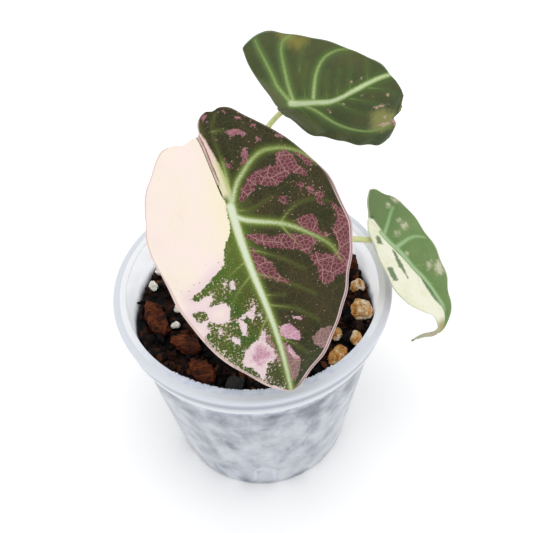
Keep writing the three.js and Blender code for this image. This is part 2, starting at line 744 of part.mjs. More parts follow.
function addMesh(name, geometry, look) {
  const mesh = new THREE.Mesh(geometry, look);
  mesh.name = name;
  group.add(mesh);
}

const pieces = loosePieces();
addMesh('pot', potGeometry(), frosted);
addMesh('potting_mix', mixGeometry(pieces), mixBrown);
addMesh('rhizome_and_roots', geometryOf(rhizomeBody(0)), rhizomeTan);
for (const { name, geometry, look } of pieces) {
  addMesh(name, geometry, look);
}
for (const [name, blade] of Object.entries(BLADES)) {
  addMesh(`petiole_${name}`, petioleGeometry(name), petioleGreen);
  addMesh(`blade_${name}`, bladeGeometry(blade), blade.look);
}

export default group;
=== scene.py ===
import math

import bpy
import numpy as np
from mathutils import Matrix


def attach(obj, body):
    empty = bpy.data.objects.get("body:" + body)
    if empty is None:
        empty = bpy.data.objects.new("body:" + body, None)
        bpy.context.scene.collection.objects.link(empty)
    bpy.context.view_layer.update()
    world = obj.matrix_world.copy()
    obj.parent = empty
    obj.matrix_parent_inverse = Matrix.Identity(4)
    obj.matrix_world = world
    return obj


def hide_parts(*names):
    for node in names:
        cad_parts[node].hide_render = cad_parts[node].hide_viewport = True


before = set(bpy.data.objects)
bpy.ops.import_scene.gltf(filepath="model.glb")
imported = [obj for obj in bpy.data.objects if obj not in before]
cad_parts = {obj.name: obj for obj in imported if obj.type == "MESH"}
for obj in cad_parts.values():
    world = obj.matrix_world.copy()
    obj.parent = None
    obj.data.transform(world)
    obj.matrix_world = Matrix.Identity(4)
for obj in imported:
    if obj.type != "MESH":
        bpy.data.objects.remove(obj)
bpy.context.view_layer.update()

# Pot
# A nursery pot, one thin moulded shell of frosted polypropylene. Its wall leans outwards up to a
# flat lip ring, a short skirt hangs from the lip, and eight holes drain the floor. The damp mix
# shows through the frosted wall as soft dark and pale shapes, darkened by painted shade under the
# skirt, and the lip and skirt carry painted light and shade.

MM = 0.001
POT_SEGMENTS = 160
POT_PROFILE = [
    (1, 0), (30.4, 0), (31.4, 0.25), (31.95, 1), (32.2, 2.2), (34.6, 19), (37.0, 36.5), (39.3, 53),
    (41.5, 68.4), (41.6, 69.2), (41.6, 76.6), (42.1, 77), (43.6, 77), (43.9, 76.7), (42.55, 69.5),
    (42.35, 69), (42.5, 68.75), (43.05, 68.8), (43.25, 69.4), (44.85, 76.9), (44.9, 77.5),
    (44.6, 77.95), (44, 78.15), (42.8, 78.05), (41.4, 78.2), (40.75, 78), (40.6, 77.4),
    (40.55, 70), (40.4, 68.6), (38.3, 53), (36.0, 36.5), (33.6, 19), (31.4, 3.2), (30.9, 1.8),
    (29.8, 1.2), (1, 1.2),
]
DRAIN_HOLES = 8
DRAIN_HOLE_RING = 21
DRAIN_HOLE_RADIUS = 2.6
DRILL_LENGTH = 6
MIX_LEVEL = 66
SKIRT_REACH = 42.5
SKIRT_FOOT = 69
SKIRT_HEIGHT = 9
INNER_WALL_REACH = 40.8
LIP_TOP = 78
ARCH_CENTRE = -1.2
ARCH_SPRING = 13
ARCH_RADIUS = 3.4
BEAD_RING = 40.75
BEAD_HEIGHT = 77.95
BEAD_RADIUS = (0.25, 0.5)
BEAD_TURNS = (-128, -58, 0.9)
BEAD_STRAY = 0.3


def add_primitive(name, adder, **settings):
    """Adds one primitive by its operator, with nothing else selected, and names it."""
    bpy.ops.object.select_all(action="DESELECT")
    adder(**settings)
    piece = bpy.context.object
    piece.name = piece.data.name = name
    return piece


def select_only(active, *others):
    """Selects these pieces and nothing else, and makes the first of them active."""
    bpy.ops.object.select_all(action="DESELECT")
    for piece in (active, *others):
        piece.select_set(True)
    bpy.context.view_layer.objects.active = active


def joined(name, *pieces):
    """Joins pieces to the first of them, and measures their points from the frame's origin."""
    select_only(*pieces)
    bpy.ops.object.join()
    bpy.ops.object.transform_apply(location=True, rotation=True, scale=True)
    whole = bpy.context.object
    whole.name = name
    return whole


def apply_modifier(piece, kind, **settings):
    """Gives a piece a modifier and applies it."""
    select_only(piece)
    modifier = piece.modifiers.new(kind.title(), kind)
    for name, value in settings.items():
        setattr(modifier, name, value)
    bpy.ops.object.modifier_apply(modifier=modifier.name)


def shade_smooth(piece, angle=35):
    """Smooths the shading of a piece, except over edges sharper than an angle in degrees."""
    select_only(piece)
    bpy.ops.object.shade_smooth_by_angle(angle=math.radians(angle))


def place(piece, material, slot, *nodes):
    """Gives a finished piece its material and its place in the frame."""
    piece.data.materials.clear()
    piece.data.materials.append(material)
    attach(piece, "root")
    if nodes:
        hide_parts(*nodes)


def turned_shell(name, profile, segments):
    """A shell of revolution: a small circle extruded ring by ring along a profile."""
    radius, height = profile[0]
    shell = add_primitive(
        name, bpy.ops.mesh.primitive_circle_add,
        vertices=segments, radius=radius * MM, location=(0, 0, height * MM),
    )
    bpy.ops.object.transform_apply(location=True)
    bpy.ops.object.mode_set(mode="EDIT")
    bpy.ops.mesh.select_all(action="SELECT")
    for next_radius, next_height in profile[1:]:
        spread = next_radius / radius
        bpy.ops.mesh.extrude_region_move()
        bpy.ops.transform.resize(value=(spread, spread, 1), center_override=(0, 0, height * MM))
        bpy.ops.transform.translate(value=(0, 0, (next_height - height) * MM))
        radius, height = next_radius, next_height
    bpy.ops.mesh.select_all(action="SELECT")
    bpy.ops.mesh.fill_holes(sides=0)
    bpy.ops.mesh.select_all(action="SELECT")
    bpy.ops.mesh.normals_make_consistent(inside=False)
    bpy.ops.object.mode_set(mode="OBJECT")
    return shell


class Signal:
    """A shader socket. An expression on it adds the Math nodes that work it out."""

    def __init__(self, finish, socket):
        self.finish = finish
        self.socket = socket

    def _math(self, operation, *values):
        """One Math node on some values, each a signal or a number."""
        return self.finish.node("Math", {"operation": operation}, dict(enumerate(values)))

    def __add__(self, other):
        return self._math("ADD", self, other)

    def __sub__(self, other):
        return self._math("SUBTRACT", self, other)

    def __mul__(self, other):
        return self._math("MULTIPLY", self, other)

    def __truediv__(self, other):
        return self._math("DIVIDE", self, other)

    def __radd__(self, other):
        return self._math("ADD", other, self)

    def __rsub__(self, other):
        return self._math("SUBTRACT", other, self)

    def __rmul__(self, other):
        return self._math("MULTIPLY", other, self)

    def __pow__(self, other):
        return self._math("POWER", self, other)

    def lower(self, other):
        """The lower of this and another value."""
        return self._math("MINIMUM", self, other)

    def higher(self, other):
        """The higher of this and another value."""
        return self._math("MAXIMUM", self, other)

    def rise(self, start, end):
        """0 below start and 1 above end, with a smooth step between them."""
        sockets = {"Value": self, "From Min": start, "From Max": end}
        return self.finish.node("MapRange", {"interpolation_type": "SMOOTHSTEP"}, sockets)


def paint(code):
    """A colour such as #c9995a, as the linear red, green, blue and alpha that shaders take."""
    shades = [int(code[place:place + 2], 16) / 255 for place in (1, 3, 5)]
    linear = [s / 12.92 if s <= 0.04045 else ((s + 0.055) / 1.055) ** 2.4 for s in shades]
    return (*linear, 1)


class Finish:
    """A material that ends in one Principled shader, built node by node."""

    def __init__(self, name, **constants):
        self.material = bpy.data.materials.new(name)
        self.material.use_nodes = True
        self.tree = self.material.node_tree
        self.tree.nodes.clear()
        self.shader = self.tree.nodes.new("ShaderNodeBsdfPrincipled")
        output = self.tree.nodes.new("ShaderNodeOutputMaterial")
        self.tree.links.new(self.shader.outputs[0], output.inputs["Surface"])
        for socket, value in constants.items():
            self.feed(self.shader.inputs[socket.replace("_", " ")], value)

    def feed(self, socket, value):
        """Links a signal to a socket, or sets the socket's own value."""
        if isinstance(value, Signal):
            self.tree.links.new(value.socket, socket)
        elif isinstance(value, str):
            socket.default_value = paint(value)
        else:
            socket.default_value = value

    def node(self, kind, settings=None, sockets=None, output=0):
        """Adds a node: its settings first, then the values or links of its sockets."""
        made = self.tree.nodes.new(f"ShaderNode{kind}")
        for name, value in (settings or {}).items():
            setattr(made, name, value)
        for name, value in (sockets or {}).items():
            self.feed(made.inputs[name], value)
        return Signal(self, made.outputs[output])

    def spot(self):
        """Where a point of the surface lies, in millimetres."""
        at = self.node("TexCoord", output="Object")
        return self.node("VectorMath", {"operation": "SCALE"}, {0: at, "Scale": 1 / MM})

    def noise(self, at, size, detail=3, rough=0.55, warp=0):
        """Cloudy noise from 0 to 1, whose lumps are about so many millimetres wide."""
        sockets = {"Vector": at, "Scale": 1 / size, "Detail": detail, "Roughness": rough,
                   "Distortion": warp}
        return self.node("TexNoise", sockets=sockets)

    def cells(self, at, size, feature="F1", output="Distance", flat=False):
        """Voronoi cells that are about so many millimetres wide."""
        settings = {"feature": feature, "voronoi_dimensions": "2D" if flat else "3D"}
        return self.node("TexVoronoi", settings, {"Vector": at, "Scale": 1 / size}, output)

    def meshes(self, at, size):
        """How far a point lies from the nearest wall between flat cells, in cell widths."""
        return self.cells(at, size, "DISTANCE_TO_EDGE", flat=True)

    def mix(self, share, first, second):
        """First colour where share is 0 and second where it is 1."""
        return self.node("Mix", {"data_type": "RGBA"}, {0: share, 6: first, 7: second}, 2)

    def layered(self, colour, *layers):
        """A colour with others laid over it in turn, each as far as its share says."""
        for share, over in layers:
            colour = self.mix(share, colour, over)
        return colour

    def ramp(self, value, *stops):
        """A colour that runs through stops, each a value and its colour, from low to high."""
        signal = self.node("ValToRGB", sockets={0: value})
        elements = signal.socket.node.color_ramp.elements
        for index, (position, colour) in enumerate(stops):
            stop = elements[index] if index < 2 else elements.new(position)
            stop.position = position
            stop.color = paint(colour)
        return signal

    def part(self, vector, axis):
        """One of the three numbers of a vector."""
        return self.node("SeparateXYZ", sockets={0: vector}, output=axis)

    def relief(self, height, depth, strength=1):
        """A bump whose height signal runs from 0 to 1 over a depth in millimetres."""
        sockets = {"Height": height, "Distance": depth * MM, "Strength": strength}
        self.feed(self.shader.inputs["Normal"], self.node("Bump", sockets=sockets))

    def set(self, **signals):
        """Gives sockets of the shader their signals or values."""
        for socket, value in signals.items():
            self.feed(self.shader.inputs[socket.replace("_", " ")], value)


def frosted_plastic():
    """Milky bluish plastic with painted light and shade. Damp mix shows through it as blurred
    shapes, up to its level.
    """
    finish = Finish(
        "frosted_plastic", Roughness=0.3, Coat_Weight=0.3, Coat_Roughness=0.12, IOR=1.49,
        Emission_Strength=0.6,
    )
    at = finish.spot()
    across, deep, height = (finish.part(at, axis) for axis in range(3))
    reach = (across * across + deep * deep) ** 0.5
    squashed = finish.node("Mapping", sockets={"Vector": at, "Scale": (1, 1, 0.7)})
    wide = finish.noise(squashed, 11, 2, 0.45, 0.5)
    fine = finish.noise(squashed, 4.2, 3, 0.55, 0.5)
    stones = finish.cells(squashed, 7)
    grit = finish.noise(at, 1.4, 2, 0.6)
    # Painted shade: the shapes darken upwards to the mix level, for the shadow under the lip and
    # skirt
    shape = wide * 0.5 + fine * 0.4 + grit * 0.1 + stones * 0.18 - height.rise(25, 66) * 0.13
    shape = shape - height.rise(7, 0) * 0.08
    behind = finish.ramp(
        shape, (0.3, "#4c5566"), (0.4, "#6f7787"), (0.48, "#8f96a3"), (0.57, "#adb2bc"),
        (0.7, "#c3c7d0"),
    )
    tan = finish.noise(at, 6, 2).rise(0.6, 0.7) * 0.2
    behind = finish.mix(tan, behind, "#cfc6bb")

    # Arch: a shallow moulded arch, low on the front
    side = across - ARCH_CENTRE
    bow = (side * side + (height - ARCH_SPRING).higher(0) ** 2) ** 0.5
    arch = bow.rise(ARCH_RADIUS - 0.9, ARCH_RADIUS - 0.2)
    arch = arch * bow.rise(ARCH_RADIUS + 1, ARCH_RADIUS + 0.3)
    arch = arch * deep.rise(-20, -28) * height.rise(3, 7)
    behind = finish.mix(arch * 0.5, behind, "#cdd9ec")

    # Lip: bluish in front and whiter at the sides, painted shade and light, over a skirt with
    # painted highlights and a dim painted shadow line along it
    lip = finish.mix(fine.rise(0.35, 0.65), "#c6cde0", "#d8deeb")
    lip = finish.mix(deep.rise(-37, -12), lip, "#eef0f5")
    # Skirt: painted highlights at its top and foot, with a painted shadow line between them
    skirt = finish.ramp(
        (height - SKIRT_FOOT) / SKIRT_HEIGHT, (0, "#e2e5ea"), (0.3, "#c3c7d1"), (0.48, "#8f95a4"),
        (0.62, "#a0a6b4"), (0.82, "#ccd1dc"), (1, "#d7dbe4"),
    )
    above = (height + fine * 4).rise(MIX_LEVEL - 2, MIX_LEVEL + 3)
    colour = finish.mix(above, behind, lip)
    on_skirt = reach.rise(SKIRT_REACH, SKIRT_REACH + 0.3) * height.rise(68, 68.6)
    colour = finish.mix(on_skirt, colour, skirt)

    # Glow: light that comes through the inner wall above the mix
    inner_wall = reach.rise(INNER_WALL_REACH, INNER_WALL_REACH - 0.1) * height.rise(LIP_TOP, 77.6)
    glow = finish.mix(above * inner_wall, "#000000", "#e2e4e9")
    finish.set(Base_Color=colour, Emission_Color=glow, Roughness=0.22 + 0.22 * fine)
    finish.relief(fine * 0.6 + wide * 0.3 - arch * 0.5, 0.25, 0.6)
    return finish.material


pot = turned_shell("pot_shell", POT_PROFILE, POT_SEGMENTS)
for hole in range(DRAIN_HOLES):
    turn = 2 * math.pi * hole / DRAIN_HOLES
    drill = add_primitive(
        "drain_drill", bpy.ops.mesh.primitive_cylinder_add,
        vertices=24, radius=DRAIN_HOLE_RADIUS * MM, depth=DRILL_LENGTH * MM,
        location=(DRAIN_HOLE_RING * MM * math.cos(turn), DRAIN_HOLE_RING * MM * math.sin(turn), 0),
    )
    apply_modifier(pot, "BOOLEAN", operation="DIFFERENCE", object=drill, solver="EXACT")
    bpy.data.objects.remove(drill)
shade_smooth(pot, 40)
pot_finish = frosted_plastic()
place(pot, pot_finish, "pot", "pot")

draw = np.random.default_rng(3)
beads = []
for turn in np.arange(*BEAD_TURNS):
    angle = math.radians(turn + draw.uniform(-BEAD_STRAY, BEAD_STRAY))
    size = draw.uniform(*BEAD_RADIUS) * MM
    beads.append(add_primitive(
        "lip_bead", bpy.ops.mesh.primitive_ico_sphere_add, subdivisions=2, radius=size,
        location=(
            BEAD_RING * MM * math.cos(angle), BEAD_RING * MM * math.sin(angle), BEAD_HEIGHT * MM,
        ),
    ))
lip_beads = joined("lip_beads", *reversed(beads))
shade_smooth(lip_beads, 180)
place(lip_beads, pot_finish, "pot")

# Potting mix
# A chunky aroid mix: fine bark, coir and peat crumbs that fill the pot and hold the larger pieces.
# The plug is the mass of it, with a rough skin, and hundreds of crumbs lie loose on its top.

MIX_LUMPS = 3.4
MIX_RELIEF = 2.2
CRUMBS = 800
CRUMB_SHAPES = 5
CRUMB_RING = 39.9
CRUMB_SIZES = (1.2, 5.2)
CRUMB_REACH = 0.62
CRUMB_LENGTH = 1.35
CRUMB_HEIGHT = 0.75


def roughen(piece, size, depth, middle, fineness):
    """Moves the surface in and out by a cloudy texture whose lumps are size millimetres wide."""
    texture = bpy.data.textures.new(f"{piece.name}_lumps", "CLOUDS")
    texture.noise_scale = size * MM
    texture.noise_depth = fineness
    apply_modifier(
        piece, "DISPLACE", texture=texture, strength=depth * MM, mid_level=middle,
        texture_coords="LOCAL",
    )


def copy_of_node(name, node):
    """A copy of a CAD node's mesh, with its loose triangles joined."""
    piece = bpy.data.objects.new(name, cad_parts[node].data.copy())
    bpy.context.scene.collection.objects.link(piece)
    select_only(piece)
    bpy.ops.object.mode_set(mode="EDIT")
    bpy.ops.mesh.select_all(action="SELECT")
    bpy.ops.mesh.remove_doubles(threshold=0.01 * MM)
    bpy.ops.object.mode_set(mode="OBJECT")
    return piece


def damp_mix():
    """Dark damp crumbs in browns and near black, each crumb in its own shade."""
    finish = Finish("damp_mix", Specular_IOR_Level=0.15)
    at = finish.spot()
    shade = finish.part(finish.cells(at, 2.6, output="Color"), 0)
    colour = finish.ramp(
        shade, (0, "#060404"), (0.5, "#100908"), (0.72, "#25130d"), (0.88, "#43200f"),
        (1, "#6a3a20"),
    )
    grain = finish.noise(at, 0.5, 4, 0.7)
    finish.set(Base_Color=finish.mix(grain * 0.6, colour, "#050403"))
    finish.set(Roughness=0.55 + 0.35 * grain)
    finish.relief(grain, 0.35)
    return finish.material


mix = copy_of_node("potting_mix_plug", "potting_mix")
apply_modifier(mix, "SUBSURF", levels=2, render_levels=2, subdivision_type="SIMPLE")
roughen(mix, MIX_LUMPS, MIX_RELIEF, middle=0.75, fineness=3)
shade_smooth(mix, 60)
mix_finish = damp_mix()
place(mix, mix_finish, "potting_mix", "potting_mix")

draw = np.random.default_rng(7)
crumb_shapes = []
for _ in range(CRUMB_SHAPES):
    crumb = add_primitive(
        "crumb_shape", bpy.ops.mesh.primitive_ico_sphere_add, subdivisions=1, radius=0.5 * MM,
    )
    for vertex in crumb.data.vertices:
        vertex.co *= draw.uniform(0.65, 1.15)
        vertex.co.x *= CRUMB_LENGTH
        vertex.co.z *= CRUMB_HEIGHT
    crumb_shapes.append(crumb)
crumbs = []
for index in range(CRUMBS):
    share = draw.uniform(0.02, 1)
    turn = draw.uniform(0, 2 * math.pi)
    size = CRUMB_SIZES[0] + (CRUMB_SIZES[1] - CRUMB_SIZES[0]) * draw.uniform() ** 2
    reach = (CRUMB_RING - CRUMB_REACH * size) * math.sqrt(share)
    crumb = bpy.data.objects.new("crumb", crumb_shapes[index % CRUMB_SHAPES].data.copy())
    bpy.context.scene.collection.objects.link(crumb)
    crumb.location = (
        reach * math.cos(turn) * MM,
        reach * math.sin(turn) * MM,
        (MIX_LEVEL - 0.3 + draw.uniform(-0.6, 0.9)) * MM,
    )
    crumb.rotation_euler = draw.uniform(0, 2 * math.pi, 3)
    crumb.scale = (size, size, size)
    crumbs.append(crumb)
for crumb in crumb_shapes:
    bpy.data.objects.remove(crumb)
loose_crumbs = joined("potting_mix_crumbs", *crumbs)
place(loose_crumbs, mix_finish, "potting_mix")

# Loose pieces in the surface
# Chips of conifer bark, horticultural charcoal, porous pumice and perlite, as they lie in the top
# of the mix. Each keeps the place and size of its solid and gets the skin of its own stuff.

CHUNK_BEVEL = 0.25
CHUNK_VOXEL = 0.35


def bark():
    """Red-brown bark in thin layers, with dark cracks and orange split faces."""
    finish = Finish("bark", Specular_IOR_Level=0.15)
    at = finish.spot()
    long_way = finish.node(
        "Mapping", sockets={"Vector": at, "Rotation": (0.2, 0.3, 0.6), "Scale": (0.35, 1, 1.3)},
    )
    fibre = finish.noise(long_way, 1.1, 4, 0.65, 0.6)
    patch = finish.noise(at, 5, 3)
    colour = finish.ramp(
        fibre * 0.62 + patch * 0.4, (0.36, "#150907"), (0.46, "#33160b"), (0.56, "#582813"),
        (0.67, "#80451c"), (0.78, "#a3652f"),
    )
    finish.set(Base_Color=colour, Roughness=0.6 + 0.3 * fibre)
    finish.relief(fibre, 0.5)
    return finish.material


def charcoal():
    """Black charcoal with small shiny facets."""
    finish = Finish("charcoal", Specular_IOR_Level=0.3)
    at = finish.spot()
    shade = finish.part(finish.cells(at, 1.6, output="Color"), 1)
    grain = finish.noise(at, 0.5, 3)
    finish.set(Base_Color=finish.mix(shade, "#0b0a0a", "#262322"))
    finish.set(Roughness=0.3 + 0.55 * shade)
    finish.relief(grain * 0.6 + shade * 0.4, 0.3)
    return finish.material


def pumice():
    """Pale porous stone, rusty in patches, with painted shade in its pits."""
    finish = Finish("pumice", Specular_IOR_Level=0.3)
    at = finish.spot()
    rust = finish.noise(at, 3.2, 4, 0.6, 0.4)
    pits = finish.cells(at, 0.9)
    colour = finish.ramp(
        rust, (0.36, "#e9dfcf"), (0.46, "#d9bf95"), (0.55, "#c28a48"), (0.7, "#96591f"),
    )
    # Painted shade: darker brown down in the pits
    pit_shade = 1 - pits.rise(0.15, 0.5)
    finish.set(Base_Color=finish.mix(pit_shade * 0.3, colour, "#6b4a2c"), Roughness=0.85)
    finish.relief(pits.rise(0.1, 0.6), 0.35)
    return finish.material


def perlite():
    """Off-white puffed grains, dull and pitted, a little soiled."""
    finish = Finish("perlite", Subsurface_Weight=0.2, Subsurface_Scale=0.001)
    at = finish.spot()
    pits = finish.cells(at, 0.6)
    soil = finish.noise(at, 1.8, 3).rise(0.5, 0.75)
    finish.set(Base_Color=finish.mix(soil * 0.5, "#f1ece4", "#a99780"), Roughness=0.9)
    finish.relief(pits.rise(0.05, 0.6), 0.25)
    return finish.material


LOOSE_PIECES = [
    ("bark_chip", 9, "bark", bark(), (1.3, 1.6)),
    ("charcoal_piece", 6, "charcoal", charcoal(), (1.8, 1.2)),
    ("pumice_stone", 8, "pumice", pumice(), (2.6, 1.4)),
    ("perlite_grain", 9, "perlite", perlite(), (1.6, 1.3)),
]
for kind, count, slot, finish, (lump, depth) in LOOSE_PIECES:
    for number in range(1, count + 1):
        node = f"{kind}_{number}"
        chunk = copy_of_node(f"{node}_skin", node)
        apply_modifier(chunk, "BEVEL", width=CHUNK_BEVEL * MM, segments=1, limit_method="NONE")
        apply_modifier(chunk, "REMESH", mode="VOXEL", voxel_size=CHUNK_VOXEL * MM)
        roughen(chunk, lump, depth, middle=0.6, fineness=2)
        shade_smooth(chunk, 180 if kind == "pumice_stone" else 50)
        place(chunk, finish, slot, node)

# Crown
# The short rhizome that the stalks grow from, with its roots in the mix. It is tan and papery,
# and only its top shows between the stalk bases.


def papery_rhizome():
    """Dry tan skin in thin bands."""
    finish = Finish("papery_rhizome", Roughness=0.8)
    at = finish.spot()
    bands = finish.noise(at, 1.6, 4, 0.6)
    finish.set(Base_Color=finish.mix(bands, "#6d5233", "#c9b88c"))
    finish.relief(bands, 0.3)
    return finish.material


rhizome = copy_of_node("rhizome_with_roots", "rhizome_and_roots")
apply_modifier(rhizome, "SUBSURF", levels=1, render_levels=1)
shade_smooth(rhizome, 60)
place(rhizome, papery_rhizome(), "rhizome", "rhizome_and_roots")

# Leaf stalks
# Smooth round stalks, pale yellow-green and flushed pink near the base, thicker at the crown. Each
# grew in one with its blade and joins it from below, a little in from the cleft.


def stalk_skin():
    """Smooth pale green, streaked lengthwise and flushed towards the crown."""
    finish = Finish(
        "stalk_skin", Roughness=0.38, Subsurface_Weight=0.25, Subsurface_Scale=0.002,
    )
    at = finish.spot()
    height = finish.part(at, 2)
    long_way = finish.node("Mapping", sockets={"Vector": at, "Scale": (1, 1, 0.12)})
    streaks = finish.noise(long_way, 0.5, 3)
    colour = finish.mix(streaks, "#c3cf84", "#dfe3ae")
    flush = (height + streaks * 14).rise(88, 66)
    finish.set(Base_Color=finish.mix(flush * 0.55, colour, "#b98a74"))
    finish.relief(streaks, 0.08)
    return finish.material


stalk_finish = stalk_skin()
for leaf in ("front", "back", "right"):
    stalk = copy_of_node(f"stalk_{leaf}", f"petiole_{leaf}")
    apply_modifier(stalk, "SUBSURF", levels=2, render_levels=2)
    shade_smooth(stalk, 60)
    place(stalk, stalk_finish, "petiole", f"petiole_{leaf}")

# Front blade
# The largest leaf, a leathery shield about 78 mm long with a narrow cleft behind the stalk. One
# half of the upper side is cream and pink, the other dark green with rose patches that show a pale
# net. It is modelled flat, half by half, then curled and tilted as it hangs.

BLADE_EDGE_THICKNESS = 0.5
RIB_THICKNESS = 1.3
RIB_REACH = 1.2
MIDDLE_LIFT = 0.35
GROOVE_DEPTH = 0.22
MINOR_PLUMP = 0.14
MAIN_REACH = 2.6
MINOR_REACH = 1.1
MINOR_VEIN_WIDTHS = (0.55, -0.1)
VEIN_EASE = 0.3
MIDRIB_RUN = (-40, 60, 4001)
FAR_OFF = 99.0


def smooth_step(start, end, value):
    """0 at the start and 1 at the end, with an even curve between them."""
    t = np.clip((value - start) / (end - start), 0, 1)
    return t * t * (3 - 2 * t)


def rounded(line, times=2):
    """A line of points with its corners cut, again and again, so that it runs smoothly."""
    points = np.array(line, float)
    for _ in range(times):
        near = points[:-1] * 0.75 + points[1:] * 0.25
        far = points[:-1] * 0.25 + points[1:] * 0.75
        between = np.stack([near, far], 1).reshape(-1, 2)
        points = np.vstack([points[:1], between[1:-1], points[-1:]])
    return points


def margin_at(pairs, along):
    """How far across a margin lies at a distance along: a smooth curve through its pairs."""
    pairs = np.array(pairs, float)
    index = np.clip(np.searchsorted(pairs[:, 0], along, side="left"), 1, len(pairs) - 1)
    start, end = pairs[index - 1], pairs[index]
    before, after = pairs[np.maximum(index - 2, 0)], pairs[np.minimum(index + 1, len(pairs) - 1)]
    span = end[:, 0] - start[:, 0]
    t = np.clip((along - start[:, 0]) / span, 0, 1)
    leaving = (end[:, 1] - before[:, 1]) / (end[:, 0] - before[:, 0]) * span
    arriving = (after[:, 1] - start[:, 1]) / (after[:, 0] - start[:, 0]) * span
    return (
        (2 * t**3 - 3 * t**2 + 1) * start[:, 1] + (t**3 - 2 * t**2 + t) * leaving
        + (3 * t**2 - 2 * t**3) * end[:, 1] + (t**3 - t**2) * arriving
    )


def from_lines(flat, lines, start_width=0, end_width=0, ease=0):
    """How far each flat point lies inside the nearest of some tapering lines, or how far off it.

    The ease, in millimetres, rounds off the crest along each line.
    """
    best = np.full(len(flat), -FAR_OFF)
    for line in lines:
        points = rounded(line)
        run = np.concatenate([[0], np.cumsum(np.hypot(*np.diff(points, axis=0).T))])
        for (a, b), begun in zip(zip(points[:-1], points[1:]), run):
            step = b - a
            length = np.hypot(*step)
            t = np.clip(((flat - a) @ step) / length**2, 0, 1)
            away = np.hypot(*(flat - a - t[:, None] * step).T)
            share = (begun + t * length) / run[-1]
            half = (start_width + (end_width - start_width) * share) / 2
            best = np.maximum(best, half + ease - np.hypot(away, ease))
    return best


def in_patches(flat, patches, holes=()):
    """How far each flat point lies inside the nearest of some outlines; negative outside them."""
    if holes:
        return np.minimum(in_patches(flat, patches), -in_patches(flat, holes))
    best = np.full(len(flat), -FAR_OFF)
    for patch in patches:
        points = np.array(patch, float)
        inside = np.zeros(len(flat), bool)
        away = np.full(len(flat), FAR_OFF)
        for a, b in zip(points, np.roll(points, -1, axis=0)):
            step = b - a
            t = np.clip(((flat - a) @ step) / (step @ step), 0, 1)
            away = np.minimum(away, np.hypot(*(flat - a - t[:, None] * step).T))
            spans = (a[1] > flat[:, 1]) != (b[1] > flat[:, 1])
            rise = step[1] if step[1] else 1e-9
            inside ^= spans & (flat[:, 0] < a[0] + (flat[:, 1] - a[1]) / rise * step[0])
        best = np.maximum(best, np.where(inside, away, -away))
    return best


def blade_points(posture, x, y, lift):
    """Where the flat points of a blade lie in space, in millimetres."""
    h, s, b = (math.radians(posture[name]) for name in ("heading", "slope", "bank"))
    tip = np.array([math.cos(h) * math.cos(s), math.sin(h) * math.cos(s), -math.sin(s)])
    level = np.array([math.sin(h), -math.cos(h), 0])
    up = np.cross(level, tip)
    across = level * math.cos(b) - up * math.sin(b)
    face = level * math.sin(b) + up * math.cos(b)
    run = np.linspace(*MIDRIB_RUN)
    rate = np.zeros_like(run)
    for start, end, degrees in posture["bends"]:
        rate[(run >= start) & (run < end)] = math.radians(degrees)
    step = run[1] - run[0]
    zero = np.argmin(np.abs(run))

    def summed(values):
        total = np.concatenate([[0], np.cumsum((values[1:] + values[:-1]) / 2 * step)])
        return total - total[zero]

    turned = summed(rate)
    along = np.interp(y, run, summed(np.cos(turned)))
    down = np.interp(y, run, summed(np.sin(turned)))
    turned = np.interp(y, run, turned)
    side = np.where(x < 0, -1, 1)
    fold = np.radians(np.where(x < 0, posture["left"]["fold"], posture["right"]["fold"]))
    tuck = math.radians(posture["tuck"]) * smooth_step(7, -3, y) * smooth_step(0, 4, x)
    fold = fold + np.where(x < 0, 0, tuck)
    curl = np.radians(np.where(x < 0, posture["left"]["curl"], posture["right"]["curl"]))
    end = fold + curl * np.abs(x)
    out = side * (np.sin(end) - np.sin(fold)) / curl
    sag = (np.cos(end) - np.cos(fold)) / curl
    tilted = np.outer(np.sin(turned), tip) + np.outer(np.cos(turned), face)
    normal = np.outer(side * np.sin(end), across) + np.cos(end)[:, None] * tilted
    return (
        np.array(posture["stalk"]) + np.outer(out, across) + np.outer(along, tip)
        - np.outer(down, face) + sag[:, None] * tilted + lift[:, None] * normal
    )


def blade_sheet(name, posture, columns, rows, lobe_share):
    """The flat upper side of a blade: one grid for each half, joined along the midrib."""
    halves = []
    for half_name in ("right", "left"):
        half = posture[half_name]
        grid = add_primitive(
            f"{name}_{half_name}", bpy.ops.mesh.primitive_grid_add,
            x_subdivisions=columns, y_subdivisions=rows, size=1,
        )
        places = np.array([vertex.co for vertex in grid.data.vertices]) + 0.5
        share, run = places[:, 0], places[:, 1]
        back, tip = half["outer"][0][0], half["outer"][-1][0]
        in_lobe = run < lobe_share - 1e-6
        lobe = back * np.cos(np.clip(run / lobe_share, 0, 1) * math.pi / 2)
        ahead = tip * np.sin(np.clip((run - lobe_share) / (1 - lobe_share), 0, 1) * math.pi / 2)
        y = np.where(in_lobe, lobe, ahead)
        inner = np.where(
            in_lobe, margin_at(half["inner"], y), margin_at(posture["middle"], y),
        )
        outer = margin_at(half["outer"], y)
        x = inner + (outer - inner) * share
        for dent_place, width, depth, start, end in posture["dents"]:
            near = np.exp(-(((x - dent_place) / width) ** 2))
            y = y + depth * near * smooth_step(start, end, y)
        for vertex, vx, vy in zip(grid.data.vertices, x, y):
            vertex.co = (vx * MM, vy * MM, 0)
        if half_name == "left":
            grid.data.flip_normals()
        halves.append(grid)
    sheet = joined(name, *halves)
    sheet.data.name = name
    bpy.ops.object.mode_set(mode="EDIT")
    bpy.ops.mesh.select_all(action="SELECT")
    bpy.ops.mesh.remove_doubles(threshold=0.004 * MM)
    bpy.ops.mesh.dissolve_degenerate(threshold=0.001 * MM)
    bpy.ops.object.mode_set(mode="OBJECT")
    return sheet


def keep_field(sheet, name, *fields):
    """Stores three numbers a point on the sheet, for its material to read."""
    attribute = sheet.data.attributes.new(name, "FLOAT_VECTOR", "POINT")
    attribute.data.foreach_set("vector", np.stack(fields, 1).astype(np.float32).ravel())


def near_line(depth, reach):
    """1 within a line, falling to nothing over some millimetres beside it."""
    return np.exp(-((np.minimum(depth, 0) / reach) ** 2))


